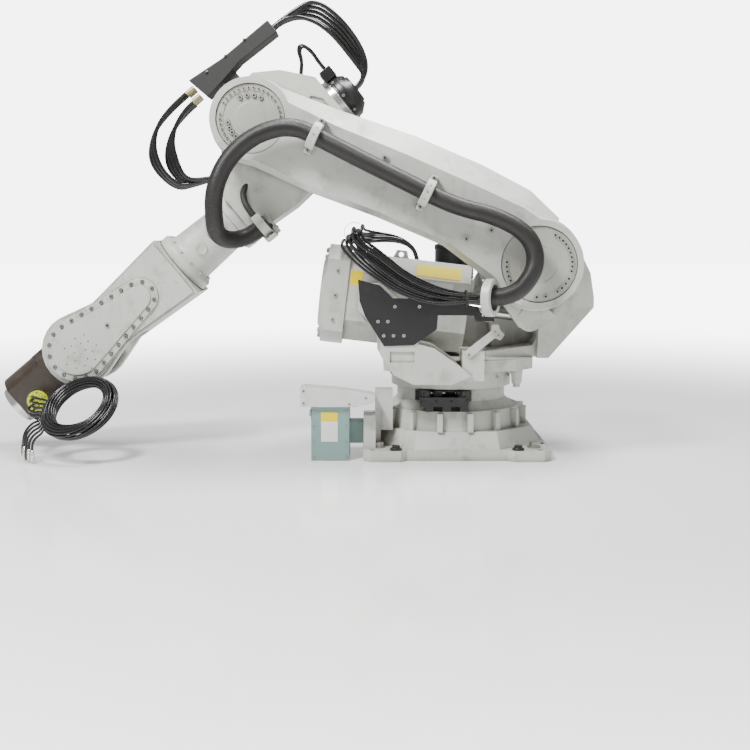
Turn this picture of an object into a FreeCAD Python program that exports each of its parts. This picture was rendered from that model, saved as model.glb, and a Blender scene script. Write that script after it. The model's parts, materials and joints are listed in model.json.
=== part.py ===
import FreeCAD, Part
import math
import os
import re
import Sketcher

# Six-axis robot arm on a floor plate.  Millimetres, Z up, X towards the robot's front,
# origin on the turning axis at floor level.  "lower" sizes are measured along the lower
# arm from the shoulder axis, "upper" sizes along the forearm from the elbow axis.

V = FreeCAD.Vector
doc = FreeCAD.newDocument("RobotArm")
sheet = doc.addObject("Spreadsheet::Sheet", "Sizes")

SIZES = {
    # main axes
    "shoulder_x": (320, "turning axis to shoulder axis"),
    "shoulder_z": (780, "shoulder axis above the floor"),
    "arm_len": (1250, "shoulder axis to elbow axis"),
    "arm_lean": (26.5, "slope of the lower arm, degrees"),
    "fore_lean": (40.05, "slope of the forearm, degrees"),
    "fore_drop": (225, "forearm axis below the elbow axis"),
    "wrist_x": (1150, "elbow axis to wrist bend axis along the forearm"),
    "flange_x": (1537, "elbow axis to flange face along the forearm"),
    # layers across the robot
    "arm_near": (350, "near face of the lower arm"),
    "arm_far": (150, "far face of the lower arm"),
    "seat": (0.4, "gap between seated parts"),
    # base
    "base_mid": (7, "middle of the foot plate along X"),
    "base_half_x": (375, "half length of the foot plate"),
    "base_half_y": (360, "half width of the foot plate"),
    "foot_thk": (44, "foot plate thickness"),
    "wall_top": (112, "top of the base's flared wall"),
    "step_z": (190, "top of the base's stepped drum"),
    "drum_rad": (312, "radius of the stepped drum"),
    "neck_rad": (226, "radius of the neck"),
    "seam_z": (275, "seam between neck and turntable"),
    "bolt_x": (313, "foundation bolt from the plate middle, X"),
    "bolt_y": (268, "foundation bolt from the plate middle, Y"),
    "free_x": (335, "free hole from the plate middle, X"),
    "free_y": (325, "free hole from the plate middle, Y"),
    "foot_hole": (26, "diameter of the foot plate holes"),
    # turntable
    "ring_rad": (250, "turntable ring radius"),
    "deck_z": (345, "underside of the turntable deck"),
    "deck_top": (392, "top of the turntable deck"),
    "cheek_in": (150, "inner face of the balancer cheeks"),
    "cheek_thk": (42, "thickness of the balancer cheeks"),
    "gear_rad": (178, "shoulder gearbox radius"),
    "gear_far": (60, "far end of the shoulder gearbox"),
    "wall_far": (190, "far face of the shoulder wall"),
    "motor_rad": (88, "drive motor radius"),
    "turn_motor_x": (30, "turning motor axis, X"),
    "turn_motor_y": (292, "turning motor axis, Y"),
    # balancer
    "trun_x": (-330, "balancer trunnion, X"),
    "trun_z": (631, "balancer trunnion, Z"),
    "trun_rad": (42, "trunnion radius"),
    "bal_half_y": (138, "half width of the balancer housing"),
    "bal_half_z": (180, "half height of the balancer housing"),
    "bal_front": (390, "trunnion to the balancer's front face"),
    "bal_back": (107, "trunnion to the balancer's rear face"),
    "bal_bore": (92, "bore for the rod"),
    "bal_slope": (6.8, "slope of the balancer, degrees"),
    "cap_rad": (205, "end cap radius"),
    "cap_thk": (92, "end cap thickness"),
    "rod_rad": (25, "balancer rod radius"),
    "rod_len": (300, "balancer rod length"),
    "tail_rad": (225, "shoulder axis to tail pin"),
    "tail_turn": (4.6, "tail pin behind straight down, degrees"),
    # lower arm
    "elbow_rad": (170, "elbow boss radius"),
    "elbow_face": (158, "elbow boss radius at the near face"),
    "elbow_recess": (134, "elbow cover recess radius"),
    "root_rad": (190, "shoulder boss radius"),
    "root_face": (174, "shoulder boss radius at the near face"),
    "root_recess": (150, "shoulder cover recess radius"),
    "recess": (16, "depth of the cover recesses"),
    "cover_thk": (9, "thickness of the recessed covers"),
    # hose
    "hose_y": (420, "hose layer in front of the turning axis"),
    "hose_rad": (35, "hose radius"),
    "clamp_up_x": (-995, "upper hose clamp along the lower arm"),
    "clamp_low_x": (-517, "lower hose clamp along the lower arm"),
    "hose_z": (48, "hose above the lower arm's axis line"),
    # cords at the turntable and the wrist
    "loom_x": (-400, "where the loom crosses over, X"),
    "loom_z": (918, "where the loom crosses over, Z"),
    "coil_x": (-1492, "middle of the coiled cords, X"),
    "coil_y": (-318, "middle of the coiled cords, Y"),
    "coil_z": (215, "middle of the coiled cords, Z"),
    "coil_rad": (140, "radius of the coil"),
    "coil_thk": (26, "half thickness of the coil"),
    "coil_roll": (20, "slope of the coil's long way, degrees"),
    "coil_tip": (53, "tip of the coil's plane, degrees"),
    "cord_rad": (5, "radius of the cords at the wrist"),
    "plug_len": (45.7, "length of a wrist plug"),
    # forearm
    "house_near": (149.5, "near face of the elbow housing"),
    "house_far": (150, "far face of the elbow housing"),
    "roll_seam": (-331, "seam where the forearm rolls"),
    "tube_rad": (96, "forearm tube radius at the elbow"),
    "collar_rad": (132, "collar radius"),
    "collar_x": (-577, "near end of the collar"),
    "wrist_root": (-618, "seam of the wrist housing"),
    "waist_x": (-977, "waist of the wrist housing"),
    "waist_half": (108, "half height at the waist"),
    "fork_rad": (150, "rounded end of the wrist fork"),
    "fork_half_y": (152, "half width of the wrist fork"),
    "fork_gap": (100, "half width of the fork's throat"),
    "throat": (240, "depth of the throat behind the bend axis"),
    "side_thk": (15, "wrist side cover thickness"),
    "head_half_y": (97, "half width of the wrist head"),
    "head_rad": (116, "wrist head radius"),
    "flange_rad": (84, "tool flange radius"),
    "flange_thk": (32, "tool flange thickness"),
    "pilot_rad": (40, "tool pilot bore radius"),
    "tool_pcd": (125, "tool bolt circle diameter"),
    "tool_hole": (10.5, "tool bolt hole diameter"),
}

for row, (word, (size, note)) in enumerate(SIZES.items(), start=1):
    sheet.set("A%d" % row, word)
    sheet.set("B%d" % row, str(size))
    sheet.set("C%d" % row, note)
    sheet.setAlias("B%d" % row, word)
doc.recompute()

WORDS = re.compile(r"[a-z_]+")
NODES = []
BENDS = []


def ex(text):
    """Return an expression in which every size word points into the sheet."""
    return WORDS.sub(lambda m: "Sizes." + m.group(0) if m.group(0) in SIZES else m.group(0), str(text))


def num(text):
    """Return the present value of an expression."""
    got = sheet.evalExpression(ex(text))
    return float(getattr(got, "Value", got))


def bind(thing, **links):
    """Bind properties of an object to expressions; a double underscore stands for a dot."""
    for prop, text in links.items():
        thing.setExpression(prop.replace("__", "."), ex(text))
    return thing


def locate(thing, at, axis="Z"):
    """Put a primitive at a point, its own Z turned along the named axis."""
    turn = {"Z": (V(0, 0, 1), 0), "Y": (V(1, 0, 0), -90), "X": (V(0, 1, 0), 90)}[axis]
    thing.Placement = FreeCAD.Placement(V(0, 0, 0), FreeCAD.Rotation(*turn))
    return bind(thing, Placement__Base__x=at[0], Placement__Base__y=at[1], Placement__Base__z=at[2])


def box(name, at, size):
    """Return a box from its low corner and its three sizes."""
    thing = doc.addObject("Part::Box", name)
    bind(thing, Length=size[0], Width=size[1], Height=size[2])
    return locate(thing, at)


def rod(name, at, radius, length, axis="Z"):
    """Return a cylinder starting at a point and running along the named axis."""
    thing = doc.addObject("Part::Cylinder", name)
    bind(thing, Radius=radius, Height=length)
    return locate(thing, at, axis)


def cone(name, at, first, last, length, axis="Z"):
    """Return a cone frustum starting at a point and running along the named axis."""
    thing = doc.addObject("Part::Cone", name)
    bind(thing, Radius1=first, Radius2=last, Height=length)
    return locate(thing, at, axis)


def outline(body, name, role, points, offset):
    """Add a closed sketch of straight lines, every corner tied to the sheet."""
    sketch = body.newObject("Sketcher::SketchObject", name)
    plane = [part for part in body.Origin.OriginFeatures if part.Role == role][0]
    sketch.AttachmentSupport = [(plane, "")]
    sketch.MapMode = "FlatFace"
    bind(sketch, AttachmentOffset__Base__z=offset)
    spots = [(num(px), num(py)) for px, py in points]
    count = len(spots)
    for i in range(count):
        start = V(spots[i][0], spots[i][1], 0)
        stop = V(spots[(i + 1) % count][0], spots[(i + 1) % count][1], 0)
        sketch.addGeometry(Part.LineSegment(start, stop))
    for i in range(count):
        sketch.addConstraint(Sketcher.Constraint("Coincident", i, 2, (i + 1) % count, 1))
    for i, (px, py) in enumerate(points):
        for kind, text, value in (("DistanceX", px, spots[i][0]), ("DistanceY", py, spots[i][1])):
            at = sketch.addConstraint(Sketcher.Constraint(kind, -1, 1, i, 1, value))
            sketch.setExpression("Constraints[%d]" % at, ex(text))
    return sketch


def prism(name, plane, points, start, length):
    """Return a body padded from an outline: XY runs up, YZ runs to +X, XZ runs to -Y."""
    body = doc.addObject("PartDesign::Body", name)
    sketch = outline(body, name + "_outline", plane + "_Plane", points, start)
    pad = body.newObject("PartDesign::Pad", name + "_pad")
    pad.Profile = sketch
    bind(pad, Length=length)
    sketch.Visibility = False
    body.Tip = pad
    return body


def slab(name, points, near, far):
    """Return a prism of an XZ outline between two layers, near < far along Y."""
    return prism(name, "XZ", points, "-(%s)" % far, "(%s)-(%s)" % (far, near))


def turned(name, points):
    """Return a body turned about its own Z from a half outline of (radius, height)."""
    body = doc.addObject("PartDesign::Body", name)
    sketch = outline(body, name + "_outline", "XZ_Plane", points, "0")
    spin = body.newObject("PartDesign::Revolution", name + "_turn")
    spin.Profile = sketch
    spin.ReferenceAxis = (sketch, ["V_Axis"])
    spin.Angle = 360
    sketch.Visibility = False
    body.Tip = spin
    return body


def lofted(name, sections):
    """Return a body with flat facets between YZ outlines given as (x, points)."""
    body = doc.addObject("PartDesign::Body", name)
    rings = []
    for i, (x, pts) in enumerate(sections):
        rings.append(outline(body, "%s_ring%d" % (name, i), "YZ_Plane", pts, x))
    loft = body.newObject("PartDesign::AdditiveLoft", name + "_loft")
    loft.Profile = rings[0]
    loft.Sections = rings[1:]
    loft.Ruled = True
    body.Tip = loft
    return body


def fuse(name, *shapes):
    """Return the union of several objects."""
    thing = doc.addObject("Part::MultiFuse", name)
    thing.Shapes = list(shapes)
    thing.Refine = True
    return thing


def cut(name, base, *tools):
    """Return an object with one or more tools taken away."""
    thing = doc.addObject("Part::Cut", name)
    thing.Base = base
    thing.Tool = tools[0] if len(tools) == 1 else together(name + "_tools", *tools)
    thing.Refine = True
    return thing


def together(name, *shapes):
    """Return several separate objects held as one compound."""
    thing = doc.addObject("Part::Compound", name)
    thing.Links = list(shapes)
    return thing


ELBOW_X = "shoulder_x-arm_len*cos(arm_lean)"
ELBOW_Z = "shoulder_z+arm_len*sin(arm_lean)"
FRAMES = {
    "world": ("0", "0", "0"),
    "lower": ("shoulder_x", "shoulder_z", "arm_lean"),
    "upper": (ELBOW_X, ELBOW_Z, "-fore_lean"),
    "balancer": ("trun_x", "trun_z", "bal_slope"),
}


def node(name, thing, frame="world"):
    """Register a finished sub-part: its label, its frame and its step file name."""
    holder = together(name + "_part", thing)
    holder.Label = name
    x, z, turn = FRAMES[frame]
    first_turn = 10 if frame != "world" else 0
    holder.Placement = FreeCAD.Placement(V(0, 0, 0), FreeCAD.Rotation(V(0, 1, 0), first_turn))
    bind(holder, Placement__Base__x=x, Placement__Base__z=z)
    if frame != "world":
        bind(holder, Placement__Rotation__Angle=turn)
    NODES.append((name, holder))
    return holder


def route(points, radius):
    """Return a round cord along straight runs joined by tangent arcs."""
    spots = [V(*[num(c) for c in p]) for p in points]
    edges = []
    start = spots[0]
    for i in range(1, len(spots) - 1):
        back = spots[i - 1] - spots[i]
        ahead = spots[i + 1] - spots[i]
        reach = 0.45 * min(back.Length, ahead.Length)
        first = spots[i] + V(back).normalize() * reach
        last = spots[i] + V(ahead).normalize() * reach
        half = (math.pi - back.getAngle(ahead)) / 2
        bend = reach / math.tan(half)
        BENDS.append(bend / radius)
        inward = (V(back).normalize() + V(ahead).normalize()).normalize()
        centre = spots[i] + inward * (bend / math.cos(half))
        middle = centre - inward * bend
        edges.append(Part.LineSegment(start, first).toShape())
        edges.append(Part.Arc(first, middle, last).toShape())
        start = last
    edges.append(Part.LineSegment(start, spots[-1]).toShape())
    wire = Part.Wire(edges)
    ring = Part.Wire([Part.makeCircle(radius, spots[0], spots[1] - spots[0])])
    return wire.makePipeShell([ring], True, False)


def cords(name, runs, frame="world"):
    """Register a set of separate cords, each a (path, radius) pair, as one sub-part."""
    thing = doc.addObject("Part::Feature", name)
    thing.Label = name
    first = len(BENDS)
    thing.Shape = Part.makeCompound([route(path, num(radius)) for path, radius in runs])
    print("%s: tightest bend %.1f times the cord's radius" % (name, min(BENDS[first:])))
    x, z, turn = FRAMES[frame]
    thing.Placement = FreeCAD.Placement(V(num(x), 0, num(z)), FreeCAD.Rotation(V(0, 1, 0), num(turn)))
    NODES.append((name, thing))
    return thing


def corners(maker, name, half_x, half_y):
    """Return four like pieces at the corners of the foot plate."""
    signs = (("-", "-"), ("+", "-"), ("+", "+"), ("-", "+"))
    made = []
    for i, (sx, sy) in enumerate(signs):
        made.append(maker("%s%d" % (name, i), "base_mid%s(%s)" % (sx, half_x),
                          "0%s(%s)" % (sy, half_y)))
    return made


# ---------------------------------------------------------------- base

def make_base():
    """Foot plate with corner feet, flared wall, stepped drum, ribs and neck."""
    half = "base_half_x"
    wide = "base_half_y"
    plate = [("base_mid-(%s)" % half, "-(%s)+30" % wide), ("base_mid-(%s)+30" % half, "-(%s)" % wide),
             ("base_mid-(%s)+150" % half, "-(%s)" % wide),
             ("base_mid-(%s)+175" % half, "-(%s)+25" % wide),
             ("base_mid+(%s)-175" % half, "-(%s)+25" % wide),
             ("base_mid+(%s)-150" % half, "-(%s)" % wide),
             ("base_mid+(%s)-30" % half, "-(%s)" % wide), ("base_mid+(%s)" % half, "-(%s)+30" % wide),
             ("base_mid+(%s)" % half, "(%s)-30" % wide), ("base_mid+(%s)-30" % half, "%s" % wide),
             ("base_mid+(%s)-150" % half, "%s" % wide), ("base_mid+(%s)-175" % half, "(%s)-25" % wide),
             ("base_mid-(%s)+175" % half, "(%s)-25" % wide), ("base_mid-(%s)+150" % half, "%s" % wide),
             ("base_mid-(%s)+30" % half, "%s" % wide), ("base_mid-(%s)" % half, "(%s)-30" % wide)]
    foot = prism("foot_plate", "XY", plate, "0", "foot_thk")
    skirt = doc.addObject("PartDesign::Body", "skirt")

    def ring(hx, hy, cx):
        """An octagon with long sides half hx by half hy and corners cut by cx."""
        pts = [(-1, -1, 1, 0), (1, -1, 1, 0), (1, -1, 0, 1), (1, 1, 0, 1), (1, 1, 1, 0), (-1, 1, 1, 0),
               (-1, 1, 0, 1), (-1, -1, 0, 1)]
        out = []
        for sx, sy, ax, ay in pts:
            x = "base_mid%+d*(%s)%+d*(%s)" % (sx, hx, -sx * ax, cx)
            y = "%+d*(%s)%+d*(%s)" % (sy, hy, -sy * ay, cx)
            out.append((x, y))
        return out

    low = outline(skirt, "skirt_low", "XY_Plane", ring("base_half_x-20", "base_half_y-30", "185"),
                  "foot_thk-2")
    top = outline(skirt, "skirt_top", "XY_Plane", ring("base_half_x-55", "base_half_y-60", "160"),
                  "wall_top")
    loft = skirt.newObject("PartDesign::AdditiveLoft", "skirt_loft")
    loft.Profile = low
    loft.Sections = [top]
    loft.Ruled = True
    skirt.Tip = loft
    drum = cone("drum", ("0", "0", "wall_top-2"), "drum_rad-14", "drum_rad-26", "step_z-wall_top+2")
    neck = rod("neck", ("0", "0", "step_z-5"), "neck_rad", "seam_z-step_z+5-0.6")
    fillet = cone("neck_foot", ("0", "0", "step_z-1"), "neck_rad+36", "neck_rad", "34")
    ribs = []
    for i in range(16):
        rib = box("drum_rib%d" % i, ("0", "-11", "0"), ("drum_rad+6", "22", "step_z-wall_top-4"))
        turn = 22.5 * i + 11.25
        rib.Placement = FreeCAD.Placement(V(0, 0, 0), FreeCAD.Rotation(V(0, 0, 1), turn))
        bind(rib, Placement__Base__x="11*sin(%g)" % turn, Placement__Base__y="-11*cos(%g)" % turn,
             Placement__Base__z="wall_top-1")
        ribs.append(rib)
    boss = box("rear_boss", ("-320", "-238", "wall_top-2"), ("72", "80", "step_z-wall_top+86"))
    rear = box("rear_port", ("base_mid-base_half_x+2", "-300", "foot_thk-2"),
               ("70", "150", "step_z-foot_thk-10"))
    solid = fuse("base_solid", foot, skirt, drum, neck, fillet, boss, rear, *ribs)

    def hole(name, x, y):
        """A foot hole from below the plate to above it."""
        return rod(name, (x, y, "-1"), "foot_hole/2", "foot_thk+60")

    def pocket(name, x, y):
        """Room round a foundation bolt's head."""
        return rod(name, (x, y, "foot_thk"), "34", "wall_top+40")

    tools = corners(hole, "bolt_hole", "bolt_x", "bolt_y")
    tools += corners(hole, "free_hole", "free_x", "free_y")
    tools += corners(pocket, "bolt_pocket", "bolt_x", "bolt_y")
    node("base_casting", cut("base_cut", solid, *tools))


def make_bolts():
    """Foundation bolts with washers, one in each foot, and levelling caps."""
    def bolt(name, x, y):
        """A foundation bolt with its washer and hexagon head."""
        shank = rod(name + "_shank", (x, y, "2"), "foot_hole/2-0.6", "foot_thk+12")
        washer = rod(name + "_washer", (x, y, "foot_thk+seat"), "27", "6")
        head = doc.addObject("Part::Prism", name + "_head")
        head.Polygon = 6
        bind(head, Circumradius="20", Height="16")
        locate(head, (x, y, "foot_thk+6"))
        return fuse(name, shank, washer, head)

    def cap(name, x, y):
        """A round levelling cap in two steps."""
        low = rod(name + "_low", (x, y, "foot_thk+seat"), "24", "8")
        top = rod(name + "_top", (x, y, "foot_thk+seat"), "16", "19")
        return fuse(name, low, top)

    node("foundation_bolts", together("bolt_set", *corners(bolt, "bolt", "bolt_x", "bolt_y")))
    node("levelling_caps", together("cap_set", *corners(cap, "cap", "base_half_x-132",
                                                        "base_half_y-30")))


def make_stop_bracket():
    """Curved block hugging the neck's front with two feet on the drum and two knobs."""
    body = doc.addObject("PartDesign::Body", "stop_arc")
    pts = [("neck_rad+seat", "step_z+36"), ("neck_rad+20", "step_z+36"), ("neck_rad+20", "seam_z-6"),
           ("neck_rad+seat", "seam_z-6")]
    sketch = outline(body, "stop_outline", "XZ_Plane", pts, "0")
    spin = body.newObject("PartDesign::Revolution", "stop_turn")
    spin.Profile = sketch
    spin.ReferenceAxis = (sketch, ["V_Axis"])
    spin.Angle = 56
    body.Tip = spin
    body.Placement = FreeCAD.Placement(V(0, 0, 0), FreeCAD.Rotation(V(0, 0, 1), -129.5))
    feet = []
    for i, x in enumerate((-120, -50, 20)):
        feet.append(box("stop_foot%d" % i, (x, "-(neck_rad+56)", "step_z+seat"), ("34", "52", "44")))
    apron = box("stop_apron", ("-140", "-(neck_rad+58)", "step_z+20"), ("186", "44", "38"))
    knobs = []
    for i, x in enumerate((-112, 22)):
        knobs.append(rod("stop_knob%d" % i, (x, "-(neck_rad+32)", "step_z+50"), "17", "28"))
    whole = fuse("stop_solid", body, apron, *(feet + knobs))
    room = rod("stop_room", ("0", "0", "step_z-2"), "neck_rad+seat", "120")
    slope = cone("stop_slope", ("0", "0", "step_z-1"), "neck_rad+36+2*seat", "neck_rad+2*seat", "34")
    node("stop_bracket", cut("stop_cut", whole, room, slope))


def make_connector_box():
    """Rear connector box on its bracket and the white cover above it."""
    edge = "base_mid-base_half_x"
    case = box("case", (edge + "-206", "-330", "0.5"), ("152", "200", "217"))
    tongue = box("case_tongue", (edge + "-56", "-262", "60"), ("57.5", "80", "90"))
    rim = box("case_rim", (edge + "-212", "-336", "180"), ("6", "120", "20"))
    node("connector_box", fuse("box_solid", case, tongue, rim))
    pts = [(edge + "-248", "218"), (edge + "-32", "218"), (edge + "+36", "232"), (edge + "+46", "244"),
           (edge + "+46", "267"), (edge + "-62", "284"), (edge + "-232", "300"), (edge + "-248", "296")]
    node("connector_cover", slab("cover_slab", pts, "-345", "-248"))


make_base()
make_bolts()
make_stop_bracket()
make_connector_box()


# ---------------------------------------------------------------- turntable

def make_turret():
    """Ring, deck and near outrigger in one casting, with the two trunnion carriers above."""
    ring = rod("turn_ring", ("0", "0", "seam_z"), "ring_rad", "deck_z-seam_z+1")
    deck_pts = [("-285", "-192"), ("-200", "-250"), ("140", "-250"), ("250", "-200"), ("332", "-100"),
                ("332", "190"), ("150", "394"), ("-90", "394"), ("-285", "192")]
    deck = prism("deck", "XY", deck_pts, "deck_z", "deck_top-deck_z")
    out_pts = [("-312", "530"), ("-312", "447"), ("-247", "350"), ("-170", "312"), ("-20", "312"),
               ("60", "345"), ("10", "385"), ("-90", "455"), ("-150", "470"), ("-165", "530")]
    outrig = slab("outrigger", out_pts, "-386", "-cheek_in")
    lug = box("strap_lug", ("22", "-376", "deck_z-20"), ("86", "180", "118"))
    solid = fuse("turret_solid", ring, deck, outrig, lug)
    panel = box("outrig_panel", ("-262", "-392", "400"), ("96", "14", "42"))
    bevel = slab("outrig_bevel", [("-420", "620"), ("-420", "300"), ("-230", "300"), ("-300", "420"),
                                  ("-300", "620")],
                 "-400", "-330")
    node("turret_casting", cut("turret_cut", solid, panel, bevel))
    near_pts = [("-330", "530+seat"), ("-388", "590"), ("-388", "668"), ("-362", "700"),
                ("-296", "700"), ("-190", "600"), ("-170", "530+seat")]
    near = slab("near_cheek", near_pts, "-cheek_in-cheek_thk", "-cheek_in")
    trun = rod("trun_bore", ("trun_x", "-300", "trun_z"), "trun_rad+0.5", "600", "Y")
    node("trunnion_carrier", cut("near_cut", near, trun))


def make_shoulder_frame():
    """Upright casting with the far trunnion, the gearbox seat and the front wing."""
    far_pts = [("-388", "590"), ("-388", "668"), ("-362", "700"), ("-296", "700"), ("-120", "610"),
               ("60", "620"),
               ("140", "760"), ("330", "760"), ("400", "deck_top+10"), ("330", "deck_top+seat"),
               ("-285", "deck_top+seat"), ("-330", "470")]
    far = slab("far_cheek", far_pts, "cheek_in", "wall_far")
    wall_pts = [("180", "deck_top+seat"), ("332", "deck_top+seat"), ("400", "404"), ("572", "600"),
                ("572", "640"), ("520", "780"), ("320", "800"), ("140", "760")]
    wall = slab("shoulder_wall", wall_pts, "gear_far+seat", "wall_far")
    disc = rod("shoulder_disc", ("shoulder_x", "gear_far+seat", "shoulder_z"), "gear_rad+24",
               "wall_far-gear_far-seat", "Y")
    wing_pts = [("344", "deck_top+seat"), ("390", "deck_top+seat"), ("572", "600"), ("572", "640"),
                ("556", "740"), ("526", "800"), ("480", "800"), ("352", "640")]
    wing = slab("wing", wing_pts, "-arm_far+1", "gear_far+5")
    low_pts = [("140", "deck_top+seat"), ("344", "deck_top+seat"), ("420", "480"), ("352", "480"),
               ("330", "440"), ("140", "410")]
    foot = slab("wing_foot", low_pts, "-98", "wall_far")
    solid = fuse("frame_solid", far, wall, disc, wing, foot)
    gear_room = rod("gear_room", ("shoulder_x", "-160", "shoulder_z"), "gear_rad+1",
                    "gear_far+160+seat", "Y")
    trun = rod("far_trun_bore", ("trun_x", "0", "trun_z"), "trun_rad+0.5", "600", "Y")
    deep = slab("far_window", [("-240", "450"), ("40", "450"), ("60", "560"), ("-170", "560")],
                "cheek_in-5", "wall_far+5")
    node("shoulder_frame", cut("frame_cut", solid, gear_room, trun, deep))


def make_turret_parts():
    """Gearbox, motors, stop post and the sheet parts on the near side."""
    gear = rod("gear_case", ("shoulder_x", "-arm_far+seat", "shoulder_z"), "gear_rad",
               "gear_far+arm_far-seat", "Y")
    node("shoulder_gearbox", gear)
    first = rod("sm_first", ("shoulder_x", "wall_far+seat", "shoulder_z"), "motor_rad+12", "24", "Y")
    second = rod("sm_second", ("shoulder_x", "wall_far+20", "shoulder_z"), "motor_rad", "190", "Y")
    plug = box("sm_plug", ("shoulder_x-30", "wall_far+150", "shoulder_z+60"), ("60", "50", "52"))
    node("shoulder_motor", fuse("shoulder_motor_solid", first, second, plug))
    base = rod("tm_base", ("turn_motor_x", "turn_motor_y", "deck_top+seat"), "motor_rad+8", "30")
    tall = rod("tm_tall", ("turn_motor_x", "turn_motor_y", "deck_top+20"), "motor_rad-3", "430")
    top = box("tm_top", ("turn_motor_x-40", "turn_motor_y-50", "deck_top+440"), ("80", "100", "40"))
    node("turn_motor", fuse("turn_motor_solid", base, tall, top))
    post = cone("post_main", ("262", "-140", "288"), "20", "25", "deck_z-288-seat")
    tip = rod("post_tip", ("262", "-140", "273"), "15", "16")
    node("stop_post", fuse("stop_post_solid", post, tip))
    plate_pts = [("-386", "723"), ("-380", "640"), ("-359", "581"), ("-285", "464"), ("-169", "468"),
                 ("-80", "530"),
                 ("-76", "584"), ("63", "584"), ("70", "560"), ("142", "560"), ("142", "584"),
                 ("102", "584"), ("86", "600"),
                 ("80", "618"), ("-40", "640"), ("-160", "650"), ("-250", "650"), ("-301", "700")]
    node("cable_plate", slab("plate_sheet", plate_pts, "-390.4", "-386.4"))
    ring = rod("ring_out", ("106", "-hose_y", "654"), "74", "36", "X")
    foot = box("ring_foot", ("108", "-386", "556"), ("30", "20", "46"))
    hold = box("ring_hold", ("108", "-386", "562"), ("30", "8", "60"))
    solid = fuse("ring_solid", ring, foot, hold)
    inner = rod("ring_in", ("100", "-hose_y", "654"), "50", "60", "X")
    room = box("ring_room", ("90", "-391", "540"), ("70", "5", "44.5"))
    split = box("ring_split", ("100", "-500", "653"), ("60", "40", "2"))
    node("cable_ring", cut("ring_cut", solid, inner, room, split))
    strap_pts = [("24", "438"), ("50", "414"), ("146", "496"), ("168", "486"), ("184", "508"),
                 ("166", "528"), ("160", "548"), ("134", "548"), ("132", "524")]
    node("strap_bracket", slab("strap_sheet", strap_pts, "-383", "-376.4"))


make_turret()
make_shoulder_frame()
make_turret_parts()


# ---------------------------------------------------------------- balancer

def make_balancer():
    """Long housing tilting on two trunnions, with an end cap and a rod."""
    half_y = "bal_half_y"
    half_z = "bal_half_z"
    pts = [("-(%s)" % half_y, "-(%s)+85" % half_z), ("-(%s)+62" % half_y, "-(%s)" % half_z),
           ("(%s)-62" % half_y, "-(%s)" % half_z), ("%s" % half_y, "-(%s)+85" % half_z),
           ("%s" % half_y, "(%s)-70" % half_z), ("(%s)-48" % half_y, "%s" % half_z),
           ("-(%s)+48" % half_y, "%s" % half_z), ("-(%s)" % half_y, "(%s)-70" % half_z)]
    case = prism("bal_case", "YZ", pts, "-(bal_back)+seat", "bal_back+bal_front-seat")
    pins = rod("bal_pins", ("0", "-cheek_in-cheek_thk+2", "0"), "trun_rad", "2*(cheek_in+cheek_thk)-4",
               "Y")
    lug = slab("bal_lug", [("62", "170"), ("134", "170"), ("120", "212"), ("78", "212")], "-14", "14")
    nose = box("bal_nose", ("bal_front-4", "-50", "70"), ("26", "100", "56"))
    solid = fuse("bal_solid", case, pins, lug, nose)
    bore = rod("bal_bore_cut", ("118", "0", "0"), "bal_bore", "bal_front", "X")
    eye = rod("bal_eye", ("98", "-20", "194"), "10", "40", "Y")
    node("balancer_housing", cut("bal_cut", solid, bore, eye), "balancer")
    disc = rod("cap_disc", ("-(bal_back)-cap_thk", "0", "0"), "cap_rad", "cap_thk", "X")
    dome = cone("cap_dome", ("-(bal_back)-cap_thk-18", "0", "0"), "cap_rad-70", "cap_rad-40", "20", "X")
    limit = box("cap_limit", ("-400", "-(cheek_in)+5", "-300"), ("600", "2*(cheek_in)-10", "600"))
    whole = fuse("cap_solid", disc, dome)
    capped = doc.addObject("Part::Common", "cap_common")
    capped.Base = whole
    capped.Tool = limit
    node("balancer_cap", capped, "balancer")


def make_rod():
    """Balancer rod with its eye on the lower arm's tail pin."""
    dx = "(shoulder_x-tail_rad*sin(tail_turn)-trun_x)"
    far = "%s/cos(bal_slope)" % dx
    eye = rod("rod_eye", (far, "-24", "0"), "40", "48", "Y")
    bar = rod("rod_bar", ("%s-rod_len" % far, "0", "0"), "rod_rad", "rod_len-20", "X")
    solid = fuse("rod_solid", eye, bar)
    bore = rod("rod_bore", (far, "-40", "0"), "26.6", "80", "Y")
    node("balance_rod", cut("rod_cut", solid, bore), "balancer")


make_balancer()
make_rod()


# ---------------------------------------------------------------- lower arm

TAIL_X = "(tail_rad*sin(arm_lean-tail_turn))"
TAIL_Z = "(-(tail_rad)*cos(arm_lean-tail_turn))"


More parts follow.
